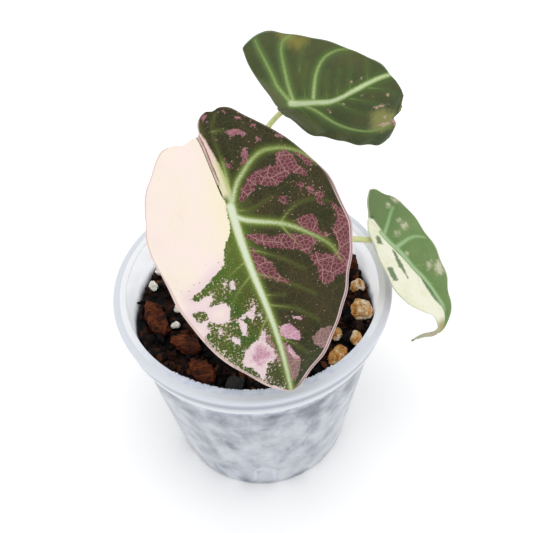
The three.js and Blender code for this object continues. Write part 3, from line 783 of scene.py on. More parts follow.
def hang_blade(sheet, posture, flat, main, minor, rim):
    """Curls a flat sheet into its posture, with its veins sunk and the fields between raised."""
    x, y = flat.T
    inner = smooth_step(0, 5, rim)
    quilt = posture["quilt"] * (1 - near_line(main, MAIN_REACH)) * inner
    plump = MINOR_PLUMP * (1 - near_line(minor, MINOR_REACH)) * inner
    ripple = posture["wave"] * (1 - smooth_step(0, 7, rim)) * np.sin(0.55 * y + 0.4 * x)
    groove = -GROOVE_DEPTH * smooth_step(-0.5, 0.3, main)
    lift = MIDDLE_LIFT + quilt + plump + ripple + groove
    points = blade_points(posture, x, y, lift)
    sheet.data.vertices.foreach_set("co", (points * MM).ravel())
    ribs = sheet.vertex_groups.new(name="ribs")
    rib = near_line(main, RIB_REACH) * smooth_step(0, 3, rim)
    for vertex, weight in zip(sheet.data.vertices, rib):
        ribs.add([vertex.index], float(weight), "REPLACE")
    apply_modifier(
        sheet, "SOLIDIFY", thickness=RIB_THICKNESS * MM, offset=-1, use_even_offset=False,
        vertex_group="ribs", thickness_vertex_group=BLADE_EDGE_THICKNESS / RIB_THICKNESS,
        material_offset=1, material_offset_rim=0, use_quality_normals=True,
    )


FRONT = {
    "stalk": (-3.9, -16.9, 129.3),
    "heading": -71, "slope": 42, "bank": 8,
    "bends": [(-30, 0, 0.3), (0, 30, 0.1), (30, 60, 0.45)],
    "middle": [(0, 0), (52, 0)],
    "right": {
        "fold": 0, "curl": 0.6,
        "outer": [(-19.8, 10.6), (-19.3, 12.3), (-17.6, 14.2), (-16, 15.6), (-13.4, 17.5),
                  (-10.9, 19.4), (-8.1, 20.9), (-5.2, 21.8), (-2.6, 22.3), (-0.7, 23),
                  (1.4, 23.8), (5.3, 23.9), (9.8, 23.1), (14.9, 22.5), (19.9, 21.8), (24.7, 20.5),
                  (30.1, 18.7), (35.2, 16.3), (39.5, 13.5), (43.5, 10), (47.8, 6.4), (50.4, 3.2),
                  (52, 0)],
        "inner": [(-19.8, 2.2), (-17, 1.7), (-11.8, 1.5), (-6.5, 1.2), (-2.1, 0.9), (0, 0)],
    },
    "left": {
        "fold": 0, "curl": 0.6,
        "outer": [(-25.6, -5.6), (-25.3, -7), (-24.6, -8.4), (-23.6, -9.5), (-22.1, -10.9),
                  (-19.3, -13.9), (-15.8, -17.6), (-12.4, -20.7), (-8.2, -23.7), (-4.3, -26.1),
                  (0.4, -28.4), (6.4, -29.6), (10.8, -30), (14.7, -30.3), (19.3, -29.1),
                  (24, -26.7), (27.7, -24.7), (31.9, -22.5), (35.8, -19.8), (39, -17),
                  (42.9, -13.9), (45.5, -10.8), (48.4, -6.3), (50.9, -2.6), (52, 0)],
        "inner": [(-25.6, -1.8), (-25.1, -0.7), (-24.2, 0.4), (-22.9, 1.2), (-21.6, 1.5),
                  (-20.6, 1.6), (-19.8, 2.1), (-17, 1.65), (-11.8, 1.45),
                  (-6.5, 1.15), (-2.1, 0.85), (0, 0)],
    },
    "dents": [(6.4, 1.7, 0.9, -15, -19.8), (-3.7, 1.1, 0.5, -22, -25.6)],
    "tuck": 0, "quilt": 0.55, "wave": 0.3,
}
FRONT_MIDRIB = [(0, 0), (0.4, 8), (0.2, 17.6), (-0.5, 26.3), (-0.8, 34.4), (-0.6, 42.3),
                (0.2, 51.5)]
FRONT_LOBE_VEIN = [(0.2, 1), (-0.6, -2.2), (-1.1, -5.2), (-1.5, -8.4), (-1.7, -11.5)]
FRONT_SHOULDER_VEIN = [(0.2, 1), (-3, -5), (-6.1, -7.6), (-9.2, -10), (-12.3, -11.4), (-16, -11.1),
                       (-19.5, -10.2), (-22.9, -8.2), (-25.6, -4.8)]
FRONT_SIDE_VEIN = [(0.2, 2), (-1.3, 3.9), (-4.9, 5.7), (-10.8, 8), (-14.6, 10.4), (-18.2, 13.6),
                   (-21.2, 16.4), (-23, 19), (-23.7, 22.1)]
FRONT_MINOR_VEINS = [
    [(0.2, 1), (-1.2, -4), (-1.7, -8.1), (-1.8, -12), (-1.5, -16.6), (-1.8, -20.4), (-2.8, -22.6),
     (-4.1, -24.1)],
    [(-1.8, -19.8), (-3.6, -19.7), (-5.4, -18.9)],
    [(-0.3, 1.1), (-4, 2.6), (-8.6, 1.6), (-10.9, 1)],
    [(-11.3, 7.9), (-13.7, 6.1), (-16.5, 4.8), (-19.6, 4.6), (-22.2, 4.9), (-26, 7)],
    [(-23.7, 22.1), (-25.2, 25.5)],
    [(0, 12), (-2.7, 13), (-6.3, 15.5), (-9.3, 17.7), (-13, 21.5)],
    [(-0.3, 18.5), (-5.2, 21.4), (-8.1, 23.9), (-10.8, 25.9), (-14, 29)],
    [(-0.6, 27.3), (-5.3, 29.4), (-8.9, 31.6), (-12.5, 35.8)],
    [(-0.6, 36), (-4, 39), (-7, 43)],
    [(0.1, 18), (2.3, 19.7), (4.8, 21.1), (7.3, 23.6), (9.8, 26.8), (11.9, 30.6), (12.7, 34.6)],
    [(0.2, 14.6), (3.8, 15.8), (6.9, 17.3), (10.4, 18.6), (15, 22)],
    [(-0.5, 30), (3, 33), (6, 38), (7.5, 43)],
    [(-10.8, 8), (-13, 14), (-17, 20), (-20, 25)],
    [(-1.1, 24.8), (-3.9, 25.7), (-6, 26.3)],
]
FRONT_CREAM = [
    [(60, -40), (1.6, -40), (1.6, -19.6), (1.3, -14.9), (1.1, -9.4), (0.8, -3.9), (1, -0.9),
     (1.6, 3.6), (2.4, 6.5), (4.4, 8.8), (5.8, 11.1), (6, 13.4), (8.8, 15.2), (12.3, 17.3),
     (14.9, 18.5), (17.7, 19.4), (16.7, 20.6), (13.9, 20.2), (11.9, 20.1), (12, 21.4), (13.8, 23),
     (9.7, 23.1), (8.5, 24.8), (9.9, 28.3), (12.4, 28.2), (14.8, 26.5), (15.9, 27.8), (15.6, 29.4),
     (17.2, 30.1), (17.9, 31.8), (16.1, 34.8), (14.1, 38), (12.6, 40.5), (20, 44), (60, 30)],
]
FRONT_GREEN_ISLE = [
    [(18.3, 23.3), (16.4, 23.2), (15.1, 23.6), (14.7, 24.7), (14.8, 26), (16.9, 26.4),
     (18.1, 25.6)],
]
FRONT_ROSE = [
    [(-1.8, 0), (-3.5, -2.4), (-6.5, -5.7), (-9, -6.7), (-12.1, -6.9), (-14.6, -6.8), (-16.1, -9.4),
     (-18.3, -10), (-20.2, -8.2), (-20.2, -5.7), (-21.3, -4.1), (-22.4, -2.2), (-21.9, -1.2),
     (-19.4, -2.5), (-18, -3.9), (-16.3, -2.6), (-14, -1.5), (-11, -1.8), (-8.4, -3.3), (-6, -1.6),
     (-3.8, -0.5)],
    [(-21, -8.9), (-22.5, -7.5), (-25.3, -5.4), (-24.7, -3.4), (-22.7, -4.3), (-22.1, -6.4)],
    [(-8.4, -13.9), (-8.6, -12.5), (-8.9, -11), (-8.1, -10), (-6.8, -9.5), (-5.9, -8.4),
     (-6.2, -9.7), (-6.9, -10.6), (-6.8, -11.8), (-7.7, -13)],
    [(-5, -18.8), (-6.7, -18.7), (-9, -18.3), (-9.7, -16.4), (-9.1, -16.1), (-7.4, -17.1),
     (-5.7, -16.9), (-5.1, -16.1), (-5.4, -17.2)],
    [(-2.5, -12.3), (-2.7, -11.3), (-3.6, -10.6), (-3.5, -9.8), (-2.5, -9.6), (-2.1, -10.5)],
    [(-6.1, -24.4), (-6.7, -24.5), (-7.1, -23.8), (-6.6, -23.7)],
    [(-0.1, -24.2), (-1.2, -24.8), (-1.9, -24.6), (-1.4, -23.8), (-0.3, -23.6)],
    [(-0.8, -23.2), (-1.5, -23.2), (-1.5, -22.4), (-0.9, -22.4)],
    [(-9, -22.2), (-9.8, -21.8), (-10.4, -21.1), (-9.6, -20.7), (-8.9, -21.3)],
    [(-12.1, -19.4), (-13.2, -18.7), (-13, -18.1), (-12.1, -18.5)],
    [(-11.6, -15.1), (-12.8, -15), (-12.9, -14.2), (-12.2, -14.1)],
    [(-1.9, -17.5), (-2.7, -17.3), (-2.3, -16.8)],
    [(-17.4, -14.8), (-19.7, -14), (-19.1, -13.2), (-17.4, -13.9)],
    [(-12.7, 1.5), (-15, 1.9), (-14.3, 2.9), (-15.1, 4.4), (-13.2, 3.5)],
    [(-18.2, -0.8), (-20.4, 0.3), (-20.4, 1.2), (-18, 0.6)],
    [(-20.7, 1.3), (-23.1, 1.7), (-22.2, 3.3), (-24.5, 3.4), (-25, 4.8), (-23.6, 5.9), (-24.2, 7),
     (-22.3, 6.7), (-22.5, 4.3), (-20.5, 2.6)],
    [(-14.6, 9.8), (-16.7, 8), (-20.1, 8.5), (-20.8, 10.6), (-20.4, 12.3), (-21, 14.4),
     (-22.6, 14.3), (-21.8, 15.6), (-19.9, 14.6), (-17.9, 12.7), (-15.9, 11.1)],
    [(-26.2, 7), (-29.4, 10.3), (-30.1, 14.3), (-29.1, 19.7), (-26.8, 23.9), (-24.3, 26.8),
     (-21.1, 26.3), (-19.3, 27.5), (-16.8, 27.2), (-15.9, 25), (-17, 22.9), (-15.8, 20.7),
     (-15.5, 19), (-17.3, 18.4), (-19.5, 19.5), (-22.3, 20.8), (-24.1, 20.4), (-24.7, 17.5),
     (-24.2, 15.5), (-23.5, 14.6), (-25.8, 12.9), (-26.9, 10.7), (-25.7, 8.5)],
    [(-0.8, 8.2), (-3.7, 8.5), (-7.3, 10.7), (-10.9, 11), (-15.4, 12.8), (-18.6, 14.5),
     (-19.3, 16.3), (-17.3, 16.5), (-15.8, 18.8), (-13, 16), (-9.6, 14.8), (-6.4, 13.4),
     (-3.3, 11.4), (-1.3, 9.2)],
    [(-1.1, 10.7), (-2.6, 13.6), (-5.6, 17.4), (-5.9, 20.2), (-8.2, 23.5), (-8.3, 24.1), (-4.7, 22),
     (-2.2, 20.2), (-0.8, 17.9), (-1.1, 14.3)],
    [(2.2, 34), (1.1, 35.9), (0.8, 38.3), (0.3, 41.6), (0.5, 43.5), (1.7, 41.1), (2.6, 39.3),
     (2.6, 36.9)],
    [(-1.2, 37.5), (-2.7, 39.4), (-3.6, 41.5), (-4.7, 43.7), (-3.3, 47.7), (-1.7, 48.7),
     (0.2, 49.6), (-0.3, 47.4), (-0.6, 43.5), (-0.8, 40.1)],
    [(-9.4, 39.5), (-12.5, 38.1), (-15.5, 38.7), (-14.8, 40.9), (-13, 43.4), (-11, 43.6),
     (-9.4, 41.4)],
]
FRONT_PINK = [
    [(-1.9, 33.9), (-4.3, 33.6), (-5.7, 35.3), (-6.7, 37.6), (-6, 38.9), (-3.6, 38.1),
     (-1.5, 36.1)],
    [(-4.9, 31.7), (-8, 33), (-8, 33.8), (-6.1, 32.9)],
    [(10.2, 40.6), (8.3, 36.9), (6.1, 35.7), (4.1, 35.2), (2.7, 33.2), (1.8, 33.8), (2.6, 36.3),
     (1.2, 39.4), (1.6, 41.7), (3.9, 42.1), (5.6, 45.3), (7, 46.8), (6.8, 44.3), (8.2, 41.9)],
    [(10.9, 32.1), (8.6, 33.3), (9.2, 35), (10.4, 34.2)],
    [(8.2, 28.8), (6.1, 27.6), (4.4, 27.4), (2.4, 26.2), (2.5, 27.7), (4.2, 29.8), (5.1, 28.3),
     (6.6, 29), (5.8, 30.4), (6.7, 33.2), (8, 32.7), (7.6, 30.2)],
    [(6.9, 19.1), (5.6, 18.2), (5.7, 19.7), (5.7, 20.7), (6.8, 20.5)],
    [(8.6, 18.6), (7.1, 17.7), (7, 18.3), (8.1, 18.9)],
    [(13.2, 29.4), (12.4, 29.3), (12.7, 30.7), (13.4, 30.7)],
    [(2.5, 28.1), (1.7, 29.5), (1.7, 30.7), (2.2, 29)],
    [(-2.7, 39.4), (-3.6, 41.5), (-4.7, 43.7), (-3.6, 43.4), (-2.2, 41.6)],
    [(6.8, 47.1), (3.2, 49.4), (0.8, 51.6), (2.5, 51.1), (5.7, 49.5), (8.1, 47.3)],
]


def flat_points(sheet):
    """The points of a flat sheet, across and along, in millimetres."""
    return np.array([vertex.co[:2] for vertex in sheet.data.vertices]) / MM


def rim_distance(flat, posture):
    """How far in from the free margin each flat point lies.

    The cleft's last two points aren't margin, because the halves have grown together there.
    """
    lines = []
    for side in ("right", "left"):
        lines.append([(across, along) for along, across in posture[side]["outer"]])
        inner = [(across, along) for along, across in posture[side]["inner"]]
        lines.append(inner[:max(2, len(inner) - 2)])
    return -from_lines(flat, lines)


def leaf_fields(finish):
    """What a blade keeps for its material: its flat plane, and three times three distances.

    These are across, along and off the cleft, then inside the main veins, the minor veins and
    the margin, then inside each of the blade's three kinds of mark, in millimetres.
    """
    flat, veins, marks = (
        finish.node("Attribute", {"attribute_name": name}, output="Vector")
        for name in ("flat", "veins", "marks")
    )
    places, depths, patches = (
        [finish.part(field, axis) for axis in range(3)] for field in (flat, veins, marks)
    )
    plane = finish.node("CombineXYZ", sockets={0: places[0], 1: places[1]})
    return plane, places, depths, patches


def leaf_noises(finish, plane, ragged, crumbs, cloud):
    """Ragged, crumbly and cloudy noise about 0, with lumps of these widths in millimetres."""
    return (
        finish.noise(plane, ragged, 4, 0.7) - 0.5,
        finish.noise(plane, crumbs, 2) - 0.5,
        finish.noise(plane, cloud, 3) - 0.5,
    )


def wavered(finish, plane, size, reach):
    """The flat points pushed about a little, so that cells between veins aren't too regular."""
    push = finish.node("TexNoise", sockets={"Vector": plane, "Scale": 1 / size}, output="Color")
    sockets = {0: push, 1: (reach, reach, 0), 2: plane}
    return finish.node("VectorMath", {"operation": "MULTIPLY_ADD"}, sockets)


def leaf_underside():
    """The matt underside: pale grey-green with a pink flush and raised pale ribs."""
    finish = Finish("leaf_underside", Roughness=0.6, Specular_IOR_Level=0.25)
    plane, _, (main, minor, _), (first, second, _) = leaf_fields(finish)
    colour = finish.layered(
        finish.mix(finish.noise(plane, 6, 4), "#6f8150", "#96a273"),
        (first.rise(-0.4, 0.4), "#ecd9cc"),
        (second.rise(-0.3, 0.3) * 0.7, "#c79a9a"),
        (minor.rise(-0.1, 0.25) * 0.8, "#bcc79a"),
        (main.rise(-0.5, 0), "#d6dbb4"),
    )
    finish.set(Base_Color=colour)
    finish.relief(1 - finish.meshes(plane, 1.3).rise(0.02, 0.2), 0.15)
    return finish.material


def front_velvet():
    """Upper side of the front blade: one half cream and pink, the other dark green and rose."""
    finish = Finish("front_velvet", Specular_IOR_Level=0.16)
    plane, (across, along, cleft), (main, minor, rim), (cream, rose, pink) = leaf_fields(finish)
    ragged, crumbs, cloud = leaf_noises(finish, plane, 1.5, 0.5, 9)
    cream_half = across.rise(-0.5, 1.5)
    near_tip = (along + ragged * 6).rise(38, 47)
    rib_glow = across.rise(-7, 0) * along.rise(26, 8) * along.rise(-8, 0)

    # Net: small meshes within larger ones, pale where the leaf is rose, faint where it is green
    loose = wavered(finish, plane, 2.2, 0.9)
    meshes = finish.meshes(loose, 1.15)
    frames = finish.meshes(loose, 4.2)
    net = (1 - meshes.rise(0.03, 0.13)) * 0.6
    net = net.higher(1 - frames.rise(0.012, 0.035))

    # Green: olive brown on one half, fresh and crumbly on the other, yellower along the veins
    dark = finish.mix((cloud + ragged * 0.6).rise(-0.25, 0.25), "#2a2d16", "#3e361f")
    fresh = finish.mix((cloud + ragged * 1.4).rise(-0.25, 0.3), "#2f541a", "#56591f")
    fresh = finish.mix(across.rise(7, 2) * 0.7, fresh, "#494a1e")
    green = finish.layered(
        finish.mix(cream_half, dark, fresh),
        (near_tip * 0.7, "#37402a"),
        (main.rise(-2.2, 0) ** 2 * 0.45, "#718a38"),
        (rib_glow * 0.5, "#5f7a2c"),
        (minor.rise(-0.8, 0.3) * 0.35, "#62702e"),
        (net * 0.1, "#8a8a50"),
    )

    # Rose, pink and cream: the first two netted, the last with brown specks near its edge
    rose_skin = finish.layered(
        finish.mix((ragged + cloud).rise(-0.3, 0.3), "#5e3236", "#744047"),
        (along.rise(32, 37) * 0.75, "#8a736d"),
        (along.rise(-6, -16) * 0.5, "#a8707c"),
        (net * 0.7, "#b98f8b"),
    )
    blush = (pink + ragged * 5 - across * 0.25).rise(-0.8, 1.4)
    pink_skin = finish.layered(
        finish.mix(blush, "#dfc9cc", "#bd8c9f"),
        (net * 0.4, "#efdcdd"),
    )
    speck = 1 - finish.cells(plane, 2.4, flat=True).rise(0.05, 0.1)
    speck = speck * cream.rise(5, 2) * along.rise(10, 13) * along.rise(21, 18)
    cream_skin = finish.layered(
        finish.mix(cloud.rise(-0.2, 0.2), "#f3e2dc", "#f1e5d5"),
        ((ragged * 0.6 + cloud).rise(0.05, 0.35) * 0.5, "#f0d6d5"),
        (cream.rise(4, 0) * along.rise(8, 16) * 0.8, "#e3ccd0"),
        (main.rise(-8, -1) * 0.6, "#f0e7c4"),
        (speck * 0.6, "#8a5a55"),
    )

    # Patches: ragged at the edge, with crumbs of the same colour lying round about
    rose_mask = (rose + ragged * 2.4 + crumbs).rise(-0.12, 0.12)
    pink_mask = (pink + ragged * 2.0 + crumbs * 1.4).rise(-0.12, 0.12)
    cream_mask = (cream + ragged * 1.8 + crumbs * 0.9).rise(-0.1, 0.1)
    near_patch = rose.higher(pink).rise(-3, 0.5)
    crowd = near_patch * 0.1 + cream_half * 0.03 + near_tip * 0.03 + cloud * 0.25
    fleck = (finish.noise(plane, 0.75, 2, 0.6) + crowd).rise(0.72, 0.75)
    beside = cream.higher(pink).rise(-4, 0) * 0.11 + rim.rise(5, 0) * 0.06
    crumbly = (finish.noise(plane, 0.7, 3, 0.7) + beside + cloud * 0.45).rise(0.68, 0.71)
    crumbly = crumbly * cream_half * (along + cloud * 10).rise(9, 18)
    colour = finish.layered(
        green,
        (rose_mask, rose_skin),
        (fleck * (1 - rose_mask) * 0.75, "#c9a09c"),
        (pink_mask, pink_skin),
        (crumbly * 0.8 * (1 - pink_mask), "#dccac0"),
        (crumbs.rise(0.02, 0.2) * cream_half * (1 - pink_mask) * 0.3, "#93964a"),
        (cream_mask, cream_skin),
    )

    # Veins: pale yellow-green, broad and soft where they meet
    thread = minor.rise(0, 0.27)
    wavering = main + crumbs * 0.5
    vein_skin = finish.mix(wavering.rise(-0.2, 0.7), "#93a45a", "#d6dfc4")
    colour = finish.layered(
        colour,
        (thread * (0.3 + main.rise(-9, 0) * 0.3), "#a0ad66"),
        (wavering.rise(-0.55, 0.35) * (1 - cream_mask * 0.8), vein_skin),
    )

    # Cleft: a dark green line on the cream lobe, and a pale band on the other with a dark red line
    # of painted shadow where the margins meet
    edge = cleft + crumbs * 0.15
    open_part = along.rise(-1.5, -4)
    on_cream = open_part * edge.rise(-0.5, -0.38) * (1 - edge.rise(-0.03, 0.03))
    band_width = 1.1 + along.rise(-20.5, -8) * 1.3
    on_band = open_part * edge.rise(-0.03, 0.03)
    on_band = on_band * (1 - (edge - band_width + ragged).rise(-0.25, 0.35))
    on_band = on_band * (along + ragged * 2).rise(-23, -20.5)
    # Dark red line: painted shadow where one margin lies over the other
    cleft_shadow_line = (edge + ragged * 0.5).rise(0, 0.12) * (1 - (edge + ragged * 0.6).rise(0.45, 0.65))
    band_skin = finish.layered(
        finish.mix(along.rise(-17, -7), "#e6c9c1", "#ddd8b4"),
        (edge.rise(1, 2.2) * along.rise(-16, -10), "#b9bd80"),
        (cleft_shadow_line * along.rise(-5, -9), "#7c3f39"),
    )
    colour = finish.layered(colour, (on_band, band_skin), (on_cream, "#3f4a24"))

    # Margin: a thin pale line, doubled by a dark one along the dark half towards the tip
    rolled = (1 - across.rise(-5, 0)) * along.rise(-2, 8)
    pale = finish.mix(rolled, "#d3b9b2", "#e3cbcb")
    lobe_part = 1 - along.rise(-10, -2) * 0.9
    share = 0.75 - lobe_part * cream_half.rise(1, 0) * 0.6
    broad = 0.15 + across.rise(3, 8) * along.rise(8, 16) * 0.45
    band = rim.rise(0.3, 0.42) * (1 - rim.rise(0.75, 0.95))
    groove = rim.rise(0.26, 0.34) * (1 - rim.rise(0.42, 0.52))
    colour = finish.layered(
        colour,
        ((1 - (rim + crumbs * 0.2 - broad).rise(0, 0.25)) * share, pale),
        (band * rolled * 0.85, "#dcc0c2"),
        (groove * rolled * 0.8, "#5b4038"),
    )
    finish.set(Base_Color=colour)
    finish.set(Roughness=0.5 + 0.12 * meshes.rise(0, 0.4) + 0.1 * cream_mask)
    plump = meshes.rise(0, 0.3) * 0.6 + finish.noise(plane, 0.35, 2) * 0.3 + thread * 0.3
    finish.relief(plump * (1 - cream_mask * 0.85), 0.14, 0.7)
    return finish.material


def grow_blade(name, posture, columns, rows, lobe_share, main_lines, minor_lines, marks):
    """Builds a blade: its flat sheet, the fields that its material reads, and its posture."""
    sheet = blade_sheet(name, posture, columns, rows, lobe_share)
    flat = flat_points(sheet)
    main = np.maximum.reduce([
        from_lines(flat, [line], *widths, ease=VEIN_EASE) for line, *widths in main_lines
    ])
    minor = from_lines(flat, minor_lines, *MINOR_VEIN_WIDTHS, ease=VEIN_EASE)
    rim = rim_distance(flat, posture)
    cleft = [(across, along) for along, across in posture["right"]["inner"]]
    beside = np.where(flat[:, 0] < margin_at(posture["right"]["inner"], flat[:, 1]) - 0.02, 1, -1)
    keep_field(sheet, "flat", flat[:, 0], flat[:, 1], -from_lines(flat, [cleft]) * beside)
    keep_field(sheet, "veins", main, minor, rim)
    keep_field(sheet, "marks", *[in_patches(flat, *patches) for patches in marks])
    sheet.data.materials.clear()
    for _ in ("upper side and margin", "underside"):
        sheet.data.materials.append(None)
    hang_blade(sheet, posture, flat, main, minor, rim)
    return sheet


def dress_blade(blade, upper, node):
    """Gives the upper side and the margin one material and the underside the other."""
    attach(blade, "root")
    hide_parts(node)
    indices = np.zeros(len(blade.data.polygons), np.int32)
    blade.data.polygons.foreach_get("material_index", indices)
    blade.data.materials.clear()
    blade.data.materials.append(upper)
    blade.data.materials.append(underside)
    blade.data.polygons.foreach_set("material_index", indices)
    shade_smooth(blade, 50)


front = grow_blade(
    "front_blade", FRONT, 96, 192, 1 / 3,
    [(FRONT_MIDRIB, 2, 0.5), (FRONT_LOBE_VEIN, 0.9, -0.3), (FRONT_SHOULDER_VEIN, 0.8, -0.2),
     (FRONT_SIDE_VEIN, 1.1, -0.2)],
    FRONT_MINOR_VEINS,
    [(FRONT_CREAM, FRONT_GREEN_ISLE), (FRONT_ROSE,), (FRONT_PINK,)],
)
underside = leaf_underside()
dress_blade(front, front_velvet(), "blade_front")

# Back blade
# The second leaf, shorter and rounder, green all over but for a few flecks, on the stalk behind.
# It leans up at the back so that its face shows, and one margin has a small notch.

BACK = {
    "stalk": (16.6, 32.8, 122.9),
    "heading": 3, "slope": -6.5, "bank": 55,
    "bends": [(-30, 0, 1.6), (0, 26, 0.3), (26, 60, 1.5)],
    "middle": [(0, 0), (27, 0), (33, 1.4), (37.8, 6)],
    "right": {
        "fold": 28, "curl": 0.75,
        "outer": [(-4.5, 1.6), (-3.8, 5), (-1.5, 9.6), (2, 12.6), (7, 14.6), (12, 17), (18, 20.8),
                  (23, 23.3), (29, 24.8), (33, 24.6), (35.8, 23.4), (37.2, 20.2), (37.8, 6)],
        "inner": [(-4.5, 0.9), (-2, 0.6), (0, 0)],
    },
    "left": {
        "fold": 3, "curl": 0.7,
        "outer": [(-12.6, -19.5), (-11.4, -20.6), (-7.4, -22.5), (-2, -22.8), (3, -20.9),
                  (10.5, -18.1), (17, -15), (21.5, -12), (26, -9), (30, -5.8), (33, -1.2),
                  (35.5, 2.5), (37.8, 6)],
        "inner": [(-12.6, -18.8), (-11.5, -15), (-8.5, -8), (-6, -3.5), (-4.4, 0.2), (-2, 0.5),
                  (0, 0)],
    },
    "dents": [(14.5, 2.2, -3.2, 28.8, 37.8)],
    "tuck": 32, "quilt": 0.5, "wave": 0.3,
}
BACK_MIDRIB = [(0, 0), (0.5, 1.3), (1, 4.5), (1.3, 7.8), (2.2, 11), (2.1, 13.9), (1.4, 16.1),
               (0.6, 18.6), (-0.6, 22.5), (-1.5, 26), (-2.1, 29.1), (-2.3, 32.1)]
BACK_LOBE_VEIN = [(-0.5, -0.2), (-3.7, -2), (-5.9, -3.2), (-10.5, -4.3), (-14.4, -5.6), (-18.3, -7),
                  (-21, -7.8)]
BACK_SHOULDER_VEIN = [(-0.7, 0.9), (-3.2, 0.4), (-7.6, 0.1), (-11.6, 0), (-15.7, 0), (-18, 0.7),
                      (-19.4, 1.6), (-20, 3.8)]
BACK_UPPER_VEIN = [(-0.2, 7.1), (-4, 8.1), (-7.7, 9.5), (-10.8, 11.8), (-12.3, 14.5), (-13, 18),
                   (-12.3, 21.2)]
BACK_LOWER_VEIN = [(1.5, 3.6), (4.1, 7.5), (7.9, 10.6), (10.8, 13.4), (14.1, 17.8), (16.7, 22.9),
                   (17.6, 27.4), (16.6, 32.2), (16, 34.6)]
BACK_MINOR_VEINS = [
    [(-5.5, -3.2), (-7.1, -5), (-7.8, -6.9)],
    [(1.8, 2), (5.9, 4.8), (10.1, 6.9), (13, 9.4)],
    [(1, 14.4), (-3.3, 15.1), (-6.6, 16.6)],
    [(-0.2, 18.7), (-3.4, 18.9), (-7.9, 20.4)],
    [(-1.4, 24.5), (-5.3, 25.1), (-8.4, 25.8)],
    [(1.2, 11.1), (-3.3, 11.6), (-7, 13)],
    [(0.1, 4.6), (-5.4, 4.9), (-11, 6.9)],
    [(-8.7, 4.4), (-13.3, 5.7), (-16.6, 7.2)],
    [(2.9, 14.3), (6.3, 18.4), (9.9, 24.5)],
    [(2.5, 18.5), (4, 22.7), (6.7, 28.1)],
    [(0.2, 24.5), (1.2, 28.7), (4.1, 33.7)],
]
BACK_FLECKS = [
    [(4.2, 10.6), (4.7, 11.7), (6.1, 12.4), (6.4, 11.5)],
    [(3.2, 15.5), (3.5, 16.8), (4.6, 17.2), (4.2, 15.9)],
    [(1.6, 21.5), (1.5, 23.2), (2.6, 22.9), (2.8, 21.7)],
    [(2.1, 24.9), (2.4, 25.9), (3.6, 26.1), (3.1, 25.1)],
    [(2.8, 29.9), (3.4, 31.4), (4.5, 31.3), (4, 30)],
    [(-3.7, 22.3), (-3.4, 23.5), (-2.3, 23.2), (-2.7, 22.3)],
    [(-3.2, 19), (-3.1, 20.1), (-2.2, 19.9), (-2.2, 19)],
    [(6.9, 25.5), (6.7, 28.1), (6.8, 31.5), (7.6, 31.9), (7.8, 28.6), (8.4, 26.7)],
    [(6.1, 28.5), (6.3, 30.5), (6.9, 30.8), (6.9, 28.8)],
    [(11, 29.2), (11.3, 31.4), (13.1, 31.4), (12.7, 29.7)],
    [(14.9, 27.1), (14, 30.4), (15.1, 34.3), (16.4, 35), (16.5, 30.3)],
]
BACK_YELLOWED = [
    [(-21.3, 0.8), (-18.1, 2.2), (-15.8, 5.4), (-17.2, 8.2), (-18.6, 9.3), (-20.2, 4.7)],
    [(9.2, 25.8), (8.7, 28.2), (10, 31.5), (13.7, 36.4), (16.7, 35.5), (18, 30.6), (16.4, 26.1),
     (12.9, 25.5)],
]
BACK_DULL_AND_SHEEN = [
    [(-10, -9), (-8.3, -7.2), (-6.8, -5.5), (-4, -3.5), (0, -1.5), (1.9, 0.3), (5.7, 4), (13, 9.4),
     (14, 6.8), (9, 0), (4, -6), (-2, -9)],
]


def back_velvet():
    """Velvety green with pale veins, flecked, yellowed at two places of the margin."""
    finish = Finish("back_velvet", Specular_IOR_Level=0.18)
    plane, (across, along, _), (main, minor, rim), (flecks, yellowed, dull) = leaf_fields(finish)
    ragged, crumbs, cloud = leaf_noises(finish, plane, 1.6, 0.55, 9)
    green = finish.layered(
        finish.mix((cloud + ragged * 0.5).rise(-0.3, 0.3), "#38482d", "#52552f"),
        (crumbs.rise(-0.25, 0.25) * 0.3, "#5d6440"),
        ((-1 * across).rise(4, 14) * along.rise(8, 20) * 0.35, "#5c5836"),
        (main.rise(-3.2, 0) ** 2 * 0.4, "#55753a"),
        (minor.rise(-1.4, 0) * 0.3, "#566e36"),
        # Strip where the lobe folds away: its own duller green, made greyer and lighter by painted
        # sheen
        ((dull + ragged * 2.5).rise(-0.8, 0.8) * 0.6, "#6a6f50"),
    )
    golden = finish.mix(across.rise(0, 6), "#8c8440", "#9a9a5c")
    wavering = main + crumbs * 0.4
    vein_skin = finish.mix(wavering.rise(0, 0.75), "#86a058", "#c9d8ae")
    colour = finish.layered(
        green,
        ((yellowed + ragged * 4).rise(-2.4, 1.6) * 0.7, golden),
        ((flecks + ragged * 2).rise(0, 0.5) * 0.75, "#c8a795"),
        (minor.rise(0, 0.27) * 0.4, "#7f9a55"),
        (main.rise(-1.6, 0.3) * along.rise(22, 2) * 0.35, "#7a9456"),
        (wavering.rise(-0.35, 0.3), vein_skin),
        ((1 - (rim + crumbs * 0.2).rise(0.05, 0.35)) * 0.7, "#7d8a72"),
    )
    grain = finish.meshes(plane, 1.15).rise(0, 0.3)
    finish.set(Base_Color=colour, Roughness=0.52 + 0.14 * grain)
    finish.relief(grain * 0.5 + finish.noise(plane, 0.35, 2) * 0.4, 0.14, 0.6)
    return finish.material


back = grow_blade(
    "back_blade", BACK, 72, 132, 1 / 4,
    [(BACK_MIDRIB, 1.9, 0.9), (BACK_LOBE_VEIN, 0.7, 0), (BACK_SHOULDER_VEIN, 0.7, 0.1),
     (BACK_UPPER_VEIN, 0.8, 0), (BACK_LOWER_VEIN, 0.5, 0.2)],
    BACK_MINOR_VEINS,
    [(BACK_FLECKS,), (BACK_YELLOWED,), (BACK_DULL_AND_SHEEN,)],
)
dress_blade(back, back_velvet(), "blade_back")

# Right blade
# The youngest leaf, small and narrow, hanging from the third stalk and drawn out to a curling tip.
# One half is green with pale flecks, the other cream with green streaks.

